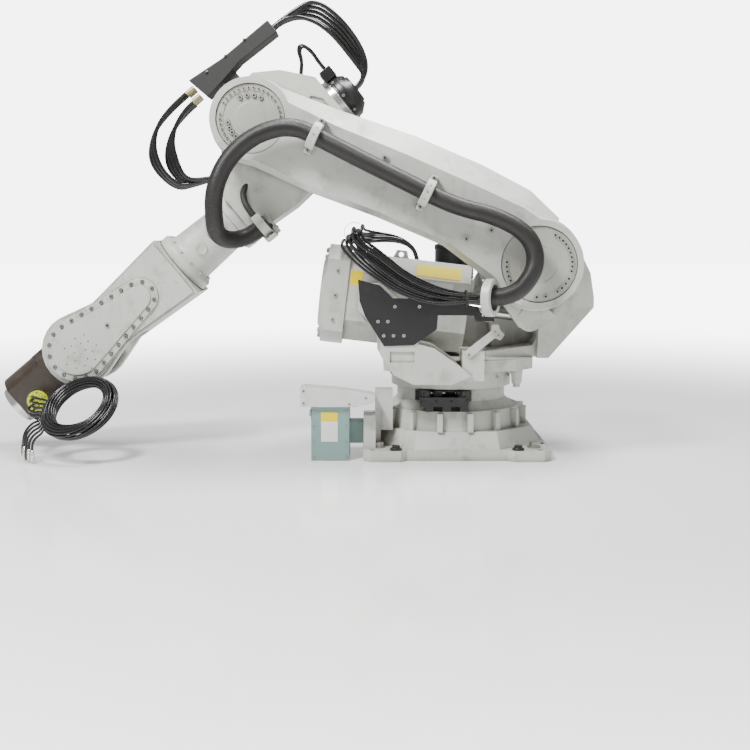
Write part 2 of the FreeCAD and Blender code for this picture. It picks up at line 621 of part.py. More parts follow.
def make_lower_arm():
    """Faceted beam between a round elbow boss and a round shoulder boss."""
    near = "-(arm_near)"
    far = "-(arm_far)"

    def section(x, top, low, near_top, near_low):
        return (x, [(far, low), (far, top), ("-(arm_far)-95", top), (near, near_top), (near, near_low),
                    ("-(arm_far)-105", low)])

    beam = lofted("arm_beam", [
        section("-(arm_len)", "160", "-160", "118", "-138"),
        section("-944", "191", "-150", "122", "-128"),
        section("-652", "232", "-118", "146", "-98"),
        section("-360", "250", "-100", "160", "-82"),
        section("-150", "246", "-138", "166", "-118"),
        section("0", "200", "-180", "146", "-150"),
    ])
    elbow_full = rod("elbow_full", ("-(arm_len)", "-(arm_far)-85", "0"), "elbow_rad", "85", "Y")
    elbow_cone = cone("elbow_cone", ("-(arm_len)", near, "0"), "elbow_face", "elbow_rad",
                      "arm_near-arm_far-84", "Y")
    root_full = rod("root_full", ("0", "-(arm_far)-85", "0"), "root_rad", "85", "Y")
    root_cone = cone("root_cone", ("0", near, "0"), "root_face", "root_rad", "arm_near-arm_far-84", "Y")
    lobe = rod("tail_lobe", (TAIL_X, "-(arm_far)-80", TAIL_Z), "48", "80", "Y")
    lobe_web = slab("tail_web", [("-60", "-190"), ("60", "-256"), ("125", "-232"), ("170", "-150"),
                                 ("0", "-100")],
                    "-(arm_far)-78", far)
    bosses = []
    for i, (x, z) in enumerate((("-721", "96"), ("-228", "33"), ("-300", "-40"))):
        bosses.append(rod("arm_boss%d" % i, (x, "-(arm_near)-6", z), "17", "30", "Y"))
    solid = fuse("arm_solid", beam, elbow_full, elbow_cone, root_full, root_cone, lobe, lobe_web,
                 *bosses)
    elbow_cut = rod("elbow_cut", ("-(arm_len)", "-(arm_near)-1", "0"), "elbow_recess", "recess+1", "Y")
    root_cut = rod("root_cut", ("0", "-(arm_near)-1", "0"), "root_recess", "recess+1", "Y")
    pin_cut = rod("pin_cut", (TAIL_X, "-(arm_far)-60", TAIL_Z), "20.4", "70", "Y")
    node("lower_arm_casting", cut("arm_cut", solid, elbow_cut, root_cut, pin_cut), "lower")


def make_arm_parts():
    """Recessed covers, tail pin, hose clamps and the hose along the arm."""
    for name, x, radius in (("elbow_cover", "-(arm_len)", "elbow_recess-1.5"),
                            ("shoulder_cover", "0", "root_recess-1.5")):
        disc = rod(name + "_disc", (x, "-(arm_near)+recess-cover_thk-seat", "0"), radius, "cover_thk",
                   "Y")
        hub = rod(name + "_hub", (x, "-(arm_near)+recess-cover_thk-6", "0"), "(%s)*0.5" % radius, "8",
                  "Y")
        node(name, fuse(name + "_solid", disc, hub), "lower")
    stem = rod("pin_stem", (TAIL_X, "-(arm_far)-58", TAIL_Z), "20", "80", "Y")
    collar = rod("pin_collar", (TAIL_X, "-(arm_far)+seat", TAIL_Z), "34", "30", "Y")
    shaft = rod("pin_shaft", (TAIL_X, "-(arm_far)+10", TAIL_Z), "26", "arm_far+18", "Y")
    node("tail_pin", fuse("pin_solid", stem, collar, shaft), "lower")
    clamps = []
    for name, x in (("clamp_upper", "clamp_up_x"), ("clamp_lower", "clamp_low_x")):
        ring = rod(name + "_ring", ("%s-17" % x, "-hose_y", "hose_z"), "hose_rad+19", "34", "X")
        foot = box(name + "_foot", ("%s-17" % x, "-hose_y+20", "hose_z-46"),
                   ("34", "hose_y-arm_near-20-seat", "92"))
        lugs = box(name + "_lugs", ("%s-10" % x, "-hose_y-12", "hose_z-hose_rad-30"),
                   ("20", "24", "2*hose_rad+60"))
        solid = fuse(name + "_solid", ring, foot, lugs)
        bore = rod(name + "_bore", ("%s-30" % x, "-hose_y", "hose_z"), "hose_rad+seat", "60", "X")
        clamps.append(cut(name + "_cut", solid, bore))
    node("hose_clamps", together("clamp_pair", *clamps), "lower")
    run = rod("hose_run", ("clamp_up_x-22", "-hose_y", "hose_z"), "hose_rad",
              "clamp_low_x-clamp_up_x+44", "X")
    node("hose_on_arm", run, "lower")


make_lower_arm()
make_arm_parts()


def lower_to_world(x, z):
    """Return world X and Z of a point given along the lower arm."""
    return ("(shoulder_x+(%s)*cos(arm_lean)+(%s)*sin(arm_lean))" % (x, z),
            "(shoulder_z-(%s)*sin(arm_lean)+(%s)*cos(arm_lean))" % (x, z))


def upper_to_world(x, z):
    """Return world X and Z of a point given along the forearm."""
    return ("(%s+(%s)*cos(fore_lean)-(%s)*sin(fore_lean))" % (ELBOW_X, x, z),
            "(%s+(%s)*sin(fore_lean)+(%s)*cos(fore_lean))" % (ELBOW_Z, x, z))


def make_hose_loops():
    """The two free hose loops, one round the shoulder and one round the elbow."""
    path = []
    for x, z in (("clamp_low_x+22.4", "hose_z"), ("-400", "hose_z"), ("-240", "88"), ("-95", "80"),
                 ("-18", "0"), ("-22", "-110"), ("-70", "-175")):
        wx, wz = lower_to_world(x, z)
        path.append((wx, "-hose_y", wz))
    path.append(("112", "-hose_y", "654"))
    cords("hose_shoulder_loop", [(path, "hose_rad")])
    path = []
    for x in ("clamp_up_x-22.4", "clamp_up_x-92"):
        wx, wz = lower_to_world(x, "hose_z")
        path.append((wx, "-hose_y", wz))
    for x, z, y in (("-20", "-66", "-hose_y"), ("-165", "-66", "-hose_y"), ("-285", "-125", "-hose_y"),
                    ("-363", "-215", "-hose_y+35"), ("-388", "-249", "-333"), ("-381", "-286", "-278"),
                    ("-344", "-316", "-231"), ("-285", "-333", "-205.4"), ("-215", "-333", "-205.4")):
        wx, wz = upper_to_world(x, z)
        path.append((wx, y, wz))
    cords("hose_elbow_loop", [(path, "hose_rad")])


make_hose_loops()


# ---------------------------------------------------------------- upper arm

def make_elbow_housing():
    """Housing beside the elbow boss carrying the forearm, with its motors."""
    near = "-(house_near)"
    pts = [("-172", "10"), ("-126", "96"), ("-60", "150"), ("120", "158"), ("210", "96"),
           ("300", "-16"),
           ("300", "-262"), ("60", "-343"), ("-94", "-352"), ("-240", "-338"), ("-290", "-300"),
           ("-290", "-130")]
    block = slab("house_block", pts, near, "house_far")
    neck = rod("house_neck", ("roll_seam+seat", "0", "-(fore_drop)"), "tube_rad+34", "70", "X")
    shell = doc.addObject("Part::Chamfer", "house_bevel")
    shell.Base = block
    doc.recompute()
    edges = []
    for i, edge in enumerate(block.Shape.Edges, start=1):
        box_ = edge.BoundBox
        if box_.YLength < 1e-6 and box_.YMin > 0:
            edges.append((i, 34.0, 34.0))
    shell.Edges = edges
    solid = fuse("house_solid", shell, neck)
    panel = slab("house_panel", [("20", "-150"), ("240", "-60"), ("270", "-100"), ("270", "-236"),
                                 ("60", "-300")],
                 "-(house_near)-1", "-(house_near)+8")
    node("elbow_housing", cut("house_cut", solid, panel), "upper")
    flange = rod("em_flange", ("0", "house_far+seat", "0"), "motor_rad+16", "22", "Y")
    barrel = rod("em_barrel", ("0", "house_far+18", "0"), "motor_rad-4", "150", "Y")
    plug = box("em_plug", ("-28", "house_far+110", "60"), ("56", "46", "50"))
    node("elbow_motor", fuse("elbow_motor_solid", flange, barrel, plug), "upper")
    ring = rod("rm_ring", ("300+seat", "40", "-134"), "104", "30", "X")
    node("roll_motor_ring", ring, "upper")
    first = rod("rm_first", ("330+2*seat", "40", "-134"), "98", "34", "X")
    dome = cone("rm_dome", ("363", "40", "-134"), "98", "72", "36", "X")
    nose = rod("rm_nose", ("398", "40", "-134"), "60", "10", "X")
    block2 = box("rm_block", ("322", "-20", "-50"), ("60", "110", "56"))
    room = rod("rm_room", ("290", "40", "-134"), "104.6", "41", "X")
    node("roll_motor", cut("roll_motor_cut", fuse("roll_motor_solid", first, dome, nose, block2),
                           room), "upper")
    foot = box("bracket_foot", ("-268", "-(house_near)-50", "-392"), ("70", "50-seat", "90"))
    ring2 = rod("bracket_ring", ("-256", "-205.4", "-333"), "hose_rad+20", "36", "X")
    ear = box("bracket_ear", ("-262", "-262", "-398"), ("46", "110", "14"))
    solid2 = fuse("bracket_solid", foot, ring2, ear)
    bore = rod("bracket_bore", ("-300", "-205.4", "-333"), "hose_rad+seat", "120", "X")
    node("hose_bracket", cut("bracket_cut", solid2, bore), "upper")


def make_carrier():
    """Dark cable carrier above the elbow with the cords that leave it."""
    pts = [("-99", "317"), ("-82", "214"), ("113", "239"), ("303", "230"), ("303", "292"),
           ("64", "296")]
    tray = slab("carrier_body", pts, "-58", "58")
    foot = box("stand_foot", ("-10", "-70", "160+seat"), ("90", "140", "10"))
    stem = box("stand_stem", ("0", "-40", "165"), ("70", "80", "75"))
    node("cable_carrier", fuse("carrier_solid", tray, foot, stem), "upper")
    sockets = []
    for i in range(4):
        dy = -42 + 28 * i
        up = 22 if i % 2 else -22
        sockets.append(rod("socket%d" % i, ("-142", "%d" % dy, "%d" % (264 + up)), "12.5", "40", "X"))
    limit = slab("socket_limit", [("-99-seat", "317"), ("-82-seat", "214"), ("0", "100"),
                                  ("0", "400")], "-90", "90")
    node("carrier_sockets", cut("socket_cut", together("socket_set", *sockets), limit), "upper")
    arcs = []
    for i in range(5):
        dy = -44 + 22 * i
        out = 6 * abs(i - 2)
        arcs.append([("303.4", dy, "261"), (385 + out, dy, "261"), (472 + out, dy, 205 + out),
                     (500 + out, dy, "85"),
                     (494 + out, 40 + dy, "-60"), (466, 40 + dy, "-134"), ("408.4", 40 + dy, "-134")])
    small = []
    for i in range(2):
        dy = 10 + 26 * i
        small.append([("255+0.4*0.779", dy, "40+0.4*0.626"), ("255+62*0.779", dy, "40+62*0.626"),
                      (334, dy, 118 + 14 * i),
                      (368, dy, 104 + 14 * i), (358, dy, "56"), (358, dy, "6.4")])
    loops = []
    for i in range(4):
        dy = -42 + 28 * i
        up = 22 if i % 2 else -22
        out = 18 * (i % 2)
        loops.append([("-142.4", dy, 264 + up), (-240 - out, dy, 264 + up), (-345 - out, dy, 212 + up),
                      (-396 - out, dy, 110 + out), (-392 - out, dy, 30),
                      ("-252-110*0.893", dy, "-55+110*0.452"), ("-252-0.4*0.893", dy, "-55+0.4*0.452")])
    sets = [(path, "8") for path in arcs]
    sets += [(path, "7.5") for path in small]
    sets += [(path, "9.5") for path in loops]
    cords("carrier_cords", sets, "upper")


make_elbow_housing()
make_carrier()


# ---------------------------------------------------------------- forearm and wrist

def make_forearm():
    """Rolling forearm tube ending in a collar."""
    pts = [("0", "-(roll_seam)"), ("tube_rad+32", "-(roll_seam)"), ("tube_rad+32", "-(roll_seam)+26"),
           ("tube_rad", "-(roll_seam)+44"), ("tube_rad+10", "-(collar_x)-14"),
           ("collar_rad-8", "-(collar_x)"),
           ("collar_rad", "-(collar_x)+8"), ("collar_rad", "-(wrist_root)-seat"),
           ("0", "-(wrist_root)-seat")]
    tube = turned("forearm_turn", pts)
    tube.Placement = FreeCAD.Placement(V(0, 0, 0), FreeCAD.Rotation(V(0, 1, 0), -90))
    bind(tube, Placement__Base__z="-(fore_drop)")
    node("forearm_tube", tube, "upper")


def fork_outline(inset):
    """Return the wrist housing's side outline, moved inwards by a plain distance."""
    steps = 14
    pts = [("wrist_root-(%g)" % inset, "-(fore_drop)+collar_rad+6-(%g)" % inset),
           ("wrist_root-(%g)" % inset, "-(fore_drop)-collar_rad-6+(%g)" % inset),
           ("waist_x", "-(fore_drop)-waist_half+(%g)" % inset)]
    for i in range(steps + 1):
        turn = 280 - 200.0 * i / steps
        pts.append(("-(wrist_x)+(fork_rad-(%g))*cos(%g)" % (inset, turn),
                    "-(fore_drop)+(fork_rad-(%g))*sin(%g)" % (inset, turn)))
    pts.append(("waist_x", "-(fore_drop)+waist_half-(%g)" % inset))
    return pts


def make_wrist():
    """Fork, side covers, wrist head, cable outlet and tool flange."""
    fork = slab("fork_block", fork_outline(0), "-(fork_half_y)", "fork_half_y")
    gap = box("fork_throat", ("-(wrist_x)-400", "-(fork_gap)", "-(fore_drop)-300"),
              ("400+throat", "2*fork_gap", "600"))
    pin = rod("fork_pin_bore", ("-(wrist_x)", "-300", "-(fore_drop)"), "60.5", "600", "Y")
    node("wrist_housing", cut("fork_cut", fork, gap, pin), "upper")
    near = slab("side_near", fork_outline(12), "-(fork_half_y)-side_thk", "-(fork_half_y)-seat")
    far = slab("side_far", fork_outline(12), "fork_half_y+seat", "fork_half_y+side_thk")
    node("wrist_covers", together("side_pair", near, far), "upper")
    axle = rod("head_axle", ("-(wrist_x)", "-(fork_half_y)+1", "-(fore_drop)"), "60",
               "2*(fork_half_y)-2", "Y")
    hub = rod("head_hub", ("-(wrist_x)", "-(head_half_y)", "-(fore_drop)"), "132", "2*head_half_y", "Y")
    bar = box("head_bar", ("-(wrist_x)-180", "-(head_half_y)", "-(fore_drop)-head_rad+8"),
              ("180", "2*head_half_y", "2*head_rad-16"))
    drum = rod("head_drum", ("-(flange_x)+flange_thk+0.5", "0", "-(fore_drop)"), "head_rad",
               "flange_x-wrist_x-150-flange_thk", "X")
    limit = box("head_limit", ("-(flange_x)-50", "-(head_half_y)", "-(fore_drop)-200"),
                ("300", "2*head_half_y", "400"))
    nose = doc.addObject("Part::Common", "head_nose")
    nose.Base = drum
    nose.Tool = limit
    node("wrist_head", fuse("head_solid", axle, hub, bar, nose), "upper")
    plate = rod("outlet_plate", ("-1432", "-(head_half_y)-16", "-(fore_drop)-46"), "44", "16-seat", "Y")
    nut = rod("outlet_nut", ("-1432", "-(head_half_y)-44", "-(fore_drop)-46"), "32", "30", "Y")
    node("cable_outlet", fuse("outlet_solid", plate, nut), "upper")
    disc = rod("tool_disc", ("-(flange_x)", "0", "-(fore_drop)"), "flange_rad", "flange_thk", "X")
    pilot = rod("tool_pilot", ("-(flange_x)-1", "0", "-(fore_drop)"), "pilot_rad", "11", "X")
    holes = []
    for i in range(8):
        turn = 45 * i + 22.5
        holes.append(rod("tool_hole%d" % i, ("-(flange_x)-1", "tool_pcd/2*cos(%g)" % turn,
                                            "-(fore_drop)+tool_pcd/2*sin(%g)" % turn), "tool_hole/2",
                                            "20", "X"))
    node("tool_flange", cut("tool_cut", disc, pilot, *holes), "upper")


make_forearm()
make_wrist()


# ---------------------------------------------------------------- cords on the turntable and the wrist

def make_loom():
    """Cords side by side from the hose end along the sheet plate and over to the deck's far side."""
    runs = []
    for lane in (-38, -19, 0, 19, 38):
        near = "-hose_y+(%d)" % lane
        far = "285-(%d)" % lane
        cross = "loom_x+(%d)" % lane
        over = "loom_z-6+0.4*(%d)" % lane
        runs.append(([("106", near, "654"), ("20", near, "654"), ("-90", near, "668"),
                      ("-210", near, "716"),
                      ("-310", near, "790"), (cross + "+5", near, "loom_z-73"), (cross, near, over),
                      (cross, "-200", over), (cross, far, over + "-20"), ("-190", far, "890"),
                      ("-112", far, "780"), ("-112", far, "deck_top+seat")], "9"))
    cords("cable_loom", runs)


def on_coil(turn, reach):
    """Return a point in the coil's tipped plane from its angle and its distance to the middle."""
    along = "(%s)*cos(%s)" % (reach, turn)
    across = "(%s)*sin(%s)" % (reach, turn)
    return ("coil_x+%s*cos(coil_roll)-%s*sin(coil_roll)*cos(coil_tip)" % (along, across),
            "coil_y+%s*sin(coil_tip)" % across,
            "coil_z+%s*sin(coil_roll)+%s*cos(coil_roll)*cos(coil_tip)" % (along, across))


def between(first, last, share):
    """Return the point a plain share of the way from one point to another."""
    return tuple("(%s)+%g*((%s)-(%s))" % (a, share, b, a) for a, b in zip(first, last))


def make_coil():
    """Coiled cords hung from the wrist head, their leads and their hanging plugs."""
    ring = doc.addObject("Part::Torus", "coil_ring")
    bind(ring, Radius1="coil_rad", Radius2="coil_thk")
    tip = FreeCAD.Rotation(V(1, 0, 0), 90 - num("coil_tip"))
    roll = FreeCAD.Rotation(V(0, 1, 0), -num("coil_roll"))
    ring.Placement = FreeCAD.Placement(V(0, 0, 0), roll.multiply(tip))
    bind(ring, Placement__Base__x="coil_x", Placement__Base__y="coil_y", Placement__Base__z="coil_z")
    node("cable_coil", ring)
    runs = []
    plugs = []
    skin = "coil_rad+coil_thk+seat"
    out_x, out_z = upper_to_world("-1432", "-(fore_drop)-46")
    for i in range(5):
        side = 9 if i in (0, 2) else -9
        start = (out_x + "+(%d)" % side, "-(head_half_y)-44-seat", out_z + "+(%d)" % (12 * i - 24))
        turn = "%g" % (168 - 6.5 * i)
        bend = on_coil(turn, "coil_rad+%d" % (100 + 3 * i))
        down = (start[0], between(start, bend, 0.34)[1], start[2])
        end = on_coil(turn, skin)
        runs.append(([start, down, between(bend, down, 0.42), between(bend, end, 0.45), end],
                     "cord_rad"))
        turn = "%g" % (178 + 6.5 * i)
        low = on_coil(turn, "coil_rad+68")
        step = 4 - i
        drop = 26 + 4.7 * step
        hang = (low[0] + "-%g" % (14 + 5.2 * step), low[1] + "-2", low[2] + "-%g" % drop)
        end = (hang[0], hang[1], hang[2] + "-%g" % (0.9 * drop))
        runs.append(([on_coil(turn, skin), low, hang, end], "cord_rad"))
        plugs.append(rod("wrist_plug%d" % i, (end[0], end[1], end[2] + "-plug_len-seat"), "9",
                         "plug_len"))
    cords("cable_tails", runs)
    node("wrist_plugs", together("wrist_plug_set", *plugs))


make_loom()
make_coil()

# ---------------------------------------------------------------- checks and files

doc.recompute()
for thing in doc.Objects:
    if "Invalid" in thing.State or "Error" in thing.State:
        raise RuntimeError("bad state: %s %s" % (thing.Name, thing.State))
os.makedirs("parts", exist_ok=True)
for name, thing in NODES:
    if thing.Shape.isNull() or not thing.Shape.isValid():
        raise RuntimeError("bad shape: " + name)
    thing.Shape.exportStep("parts/" + name + ".step")
    print("%-22s solids %d volume %.0f" % (name, len(thing.Shape.Solids), thing.Shape.Volume))
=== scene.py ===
"""Looks of a six-axis robot arm: finishes, screws, hoses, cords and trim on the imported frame."""
import json
import logging
import math
from dataclasses import dataclass, field
from enum import Enum
from typing import Iterable, Sequence

import bmesh
import bpy
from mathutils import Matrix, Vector
from mathutils.bvhtree import BVHTree


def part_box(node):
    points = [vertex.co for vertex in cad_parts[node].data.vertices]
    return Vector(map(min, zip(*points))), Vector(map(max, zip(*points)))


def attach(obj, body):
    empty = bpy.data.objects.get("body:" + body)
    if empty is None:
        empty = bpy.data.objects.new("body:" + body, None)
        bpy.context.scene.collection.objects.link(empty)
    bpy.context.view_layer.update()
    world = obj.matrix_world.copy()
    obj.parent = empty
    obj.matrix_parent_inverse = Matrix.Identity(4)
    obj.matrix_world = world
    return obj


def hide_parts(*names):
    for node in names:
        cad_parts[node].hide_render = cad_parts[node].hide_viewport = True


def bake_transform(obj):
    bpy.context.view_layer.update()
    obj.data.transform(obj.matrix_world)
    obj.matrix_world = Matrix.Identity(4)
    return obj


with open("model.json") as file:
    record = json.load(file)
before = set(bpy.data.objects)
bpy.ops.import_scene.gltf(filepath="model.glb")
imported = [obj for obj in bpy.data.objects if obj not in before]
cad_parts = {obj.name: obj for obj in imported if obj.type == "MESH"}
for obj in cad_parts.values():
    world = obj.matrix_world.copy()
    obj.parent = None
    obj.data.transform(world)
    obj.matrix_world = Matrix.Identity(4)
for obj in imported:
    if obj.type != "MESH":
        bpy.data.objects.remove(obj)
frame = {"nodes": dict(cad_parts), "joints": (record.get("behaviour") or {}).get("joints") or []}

log = logging.getLogger("robot_arm")

Colour = tuple[float, float, float]
Route = Sequence[tuple[float, float, float]]
CORD_LENGTHS = (2.86, 2.88, 2.89, 2.90, 2.92)
MM = 0.001
HOSE_LAYER = -0.420
HOSE_LIFT = 0.048
FOREARM_DROP = -0.225
DRIVE_RADIUS = 0.088
PLATE_THICK = 0.0012


class Slot(Enum):
    """Material slots of the record."""

    WHITE = "white_paint"
    STEEL = "bright_steel"
    BLACK = "black_paint"
    RUBBER = "black_rubber"
    TEAL = "grey_blue_paint"
    BRONZE = "bronze_paint"
    YELLOW = "yellow_plastic"


# ------------------------------------------------------------------ shader groups


@dataclass(frozen=True)
class SocketSpec:
    """One socket of a node group: its name, its type and its starting value."""

    name: str
    kind: str
    value: object = None


def new_group(name: str, inputs: Sequence[SocketSpec], outputs: Sequence[SocketSpec], tree: str) -> bpy.types.NodeTree:
    """Make an empty node group with named sockets.

    Args:
        name: the group's name.
        inputs: its input sockets.
        outputs: its output sockets.
        tree: the kind of tree.

    Returns:
        The group, with its input and output nodes already placed.
    """
    group = bpy.data.node_groups.new(name, tree)
    for spec in inputs:
        socket = group.interface.new_socket(spec.name, in_out="INPUT", socket_type=spec.kind)
        if spec.value is not None:
            socket.default_value = spec.value
    for spec in outputs:
        group.interface.new_socket(spec.name, in_out="OUTPUT", socket_type=spec.kind)
    group.nodes.new("NodeGroupInput").name = "In"
    group.nodes.new("NodeGroupOutput").name = "Out"
    return group


class Wiring:
    """Small helper that adds nodes to a tree and joins their sockets."""

    def __init__(self, tree: bpy.types.NodeTree) -> None:
        """Keep the tree that nodes are added to."""
        self.tree = tree

    def add(self, kind: str, **settings: object) -> bpy.types.Node:
        """Add a node and set its plain properties.

        Args:
            kind: the node's type.
            settings: its properties by name.

        Returns:
            The new node.
        """
        node = self.tree.nodes.new(kind)
        for key, value in settings.items():
            setattr(node, key, value)
        return node

    def join(self, source: bpy.types.NodeSocket, target: bpy.types.NodeSocket) -> None:
        """Join one socket to another."""
        self.tree.links.new(source, target)

    def feed(self, node: bpy.types.Node, name: str | int, source: object) -> None:
        """Give an input a value, or join it to a socket.

        Args:
            node: the node that is fed.
            name: the input's name or number.
            source: a plain value or an output socket.
        """
        if isinstance(source, bpy.types.NodeSocket):
            self.join(source, node.inputs[name])
        else:
            node.inputs[name].default_value = source

    def maths(self, operation: str, first: object, second: object = 0.0, clamp: bool = False) -> bpy.types.NodeSocket:
        """Return the result of a math node on two values or sockets.

        Args:
            operation: the math node's operation.
            first: a value or socket.
            second: a value or socket.
            clamp: True to keep the result between 0 and 1.

        Returns:
            The result's socket.
        """
        node = self.add("ShaderNodeMath", operation=operation, use_clamp=clamp)
        self.feed(node, 0, first)
        self.feed(node, 1, second)
        return node.outputs[0]

    def noise(self, place: object, scale: object, detail: float = 3.0, rough: float = 0.55) -> bpy.types.NodeSocket:
        """Return a noise value at a place.

        Args:
            place: the socket with the place.
            scale: how fine the noise is, per metre.
            detail: how many finer layers it has.
            rough: how strong the finer layers are.

        Returns:
            The noise's socket, between 0 and 1.
        """
        node = self.add("ShaderNodeTexNoise")
        self.feed(node, "Vector", place)
        self.feed(node, "Scale", scale)
        self.feed(node, "Detail", detail)
        self.feed(node, "Roughness", rough)
        return node.outputs["Fac"]

    def ramp(self, value: object, low: object, high: object) -> bpy.types.NodeSocket:
        """Return a value stretched so that low becomes 0 and high becomes 1.

        Args:
            value: the value that is stretched.
            low: what becomes 0.
            high: what becomes 1.

        Returns:
            The stretched value's socket, with soft ends.
        """
        node = self.add("ShaderNodeMapRange", interpolation_type="SMOOTHSTEP")
        self.feed(node, "Value", value)
        self.feed(node, "From Min", low)
        self.feed(node, "From Max", high)
        return node.outputs["Result"]

    def mix(self, share: object, first: object, second: object) -> bpy.types.NodeSocket:
        """Return one colour blended into another.

        Args:
            share: how much of the second colour shows.
            first: the first colour.
            second: the second colour.

        Returns:
            The blend's socket.
        """
        node = self.add("ShaderNodeMix", data_type="RGBA")
        self.feed(node, 0, share)
        self.feed(node, 6, first)
        self.feed(node, 7, second)
        return node.outputs[2]


def rgba(colour: Colour) -> tuple[float, float, float, float]:
    """Return a colour with full alpha."""
    return (*colour, 1.0)


@dataclass(frozen=True)
class WearAndShadeRecipe:
    """Scales per metre and strengths of the wear and of the painted corner shade that every finish shares."""

    broad_scale: float = 3.1
    streak_scale: tuple[float, float, float] = (14.0, 14.0, 3.0)
    smudge_scale: float = 11.0
    smudge_share: float = 0.75
    streak_share: float = 0.5
    settled_share: float = 0.25
    # Strength, and reach in metres, of the painted shade in corners and creases.
    corner_shade_share: float = 1.3
    corner_shade_reach: float = 0.035
    speck_scale: float = 260.0
    patch_scale: float = 7.0
    speck_level: float = 0.86
    speck_reach: float = 0.13
    dirt_and_shade_roughness: float = 0.25
    drift_roughness: float = 0.6
    chip_depth: float = 0.8


class ShaderKit:
    """Shader groups shared by the finishes, each built once."""

    def __init__(self, recipe: WearAndShadeRecipe = WearAndShadeRecipe()) -> None:
        """Keep the recipe and start with no groups."""
        self.recipe = recipe
        self.groups: dict[str, bpy.types.NodeTree] = {}

    def wear(self) -> bpy.types.NodeTree:
        """Return the group for tone drift, dust, smudges, painted shade in corners, small chips and a fine surface.

        Returns:
            The group, built on the first call.
        """
        if "wear" in self.groups:
            return self.groups["wear"]
        colour, number = "NodeSocketColor", "NodeSocketFloat"
        group = new_group(
            "Wear",
            [SocketSpec("Paint", colour), SocketSpec("Dust Colour", colour), SocketSpec("Chip Colour", colour),
             SocketSpec("Dust", number, 0.3), SocketSpec("Chips", number, 0.2), SocketSpec("Tone", number, 0.05),
             SocketSpec("Roughness", number, 0.4), SocketSpec("Grain Scale", number, 700.0)],
            [SocketSpec("Colour", colour), SocketSpec("Roughness", number), SocketSpec("Height", number)],
            "ShaderNodeTree",
        )
        wires = Wiring(group)
        mix = self.recipe
        given = group.nodes["In"].outputs
        place = wires.add("ShaderNodeTexCoord").outputs["Object"]
        broad = wires.noise(place, mix.broad_scale, 4.0)
        drift = wires.maths("MULTIPLY", wires.maths("SUBTRACT", broad, 0.5), given["Tone"])
        toned = wires.add("ShaderNodeHueSaturation")
        wires.feed(toned, "Color", given["Paint"])
        wires.feed(toned, "Value", wires.maths("ADD", drift, 1.0))
        streak_place = wires.add("ShaderNodeMapping")
        wires.feed(streak_place, "Vector", place)
        streak_place.inputs["Scale"].default_value = mix.streak_scale
        streaks = wires.ramp(wires.noise(streak_place.outputs[0], 1.0, 5.0, 0.6), 0.52, 0.74)
        smudge = wires.ramp(wires.noise(place, mix.smudge_scale, 6.0, 0.65), 0.5, 0.72)
        facing = wires.add("ShaderNodeSeparateXYZ")
        wires.join(wires.add("ShaderNodeNewGeometry").outputs["Normal"], facing.inputs[0])
        settled = wires.ramp(facing.outputs["Z"], 0.35, 1.0)
        smudge = wires.maths("MULTIPLY", smudge, mix.smudge_share)
        dirt_and_shade = wires.maths("MAXIMUM", smudge, wires.maths("MULTIPLY", streaks, mix.streak_share))
        dirt_and_shade = wires.maths("ADD", dirt_and_shade, wires.maths("MULTIPLY", settled, mix.settled_share))
        # Painted shade: ambient occlusion darkens the paint towards the dust colour where surfaces meet, in corners and
        # creases.
        nook_shade = wires.add("ShaderNodeAmbientOcclusion", samples=6)
        wires.feed(nook_shade, "Distance", mix.corner_shade_reach)
        corner = wires.ramp(wires.maths("SUBTRACT", 1.0, nook_shade.outputs["AO"]), 0.12, 0.75)
        dirt_and_shade = wires.maths("ADD", dirt_and_shade, wires.maths("MULTIPLY", corner, mix.corner_shade_share))
        # The mask holds real dust and smudges together with the painted corner shade.
        dirt_and_shade = wires.maths("MULTIPLY", dirt_and_shade, given["Dust"], clamp=True)
        dusty_and_shaded = wires.mix(dirt_and_shade, toned.outputs[0], given["Dust Colour"])
        specks = wires.noise(place, mix.speck_scale, 1.0, 0.4)
        patches = wires.ramp(wires.noise(place, mix.patch_scale, 3.0), 0.42, 0.70)
        reach = wires.maths("MULTIPLY", patches, wires.maths("MULTIPLY", given["Chips"], mix.speck_reach))
        edge = wires.maths("SUBTRACT", mix.speck_level, reach)
        chipped = wires.maths("GREATER_THAN", specks, edge)
        final = wires.mix(chipped, dusty_and_shaded, given["Chip Colour"])
        out = group.nodes["Out"].inputs
        wires.join(final, out["Colour"])
        rough = wires.maths("ADD", given["Roughness"], wires.maths("MULTIPLY", dirt_and_shade, mix.dirt_and_shade_roughness))
        rough = wires.maths("ADD", rough, wires.maths("MULTIPLY", drift, mix.drift_roughness), clamp=True)
        wires.join(rough, out["Roughness"])
        grain = wires.noise(place, given["Grain Scale"], 2.0, 0.5)
        height = wires.maths("SUBTRACT", grain, wires.maths("MULTIPLY", chipped, mix.chip_depth))
        wires.join(height, out["Height"])
        self.groups["wear"] = group
        return group


KIT = ShaderKit()


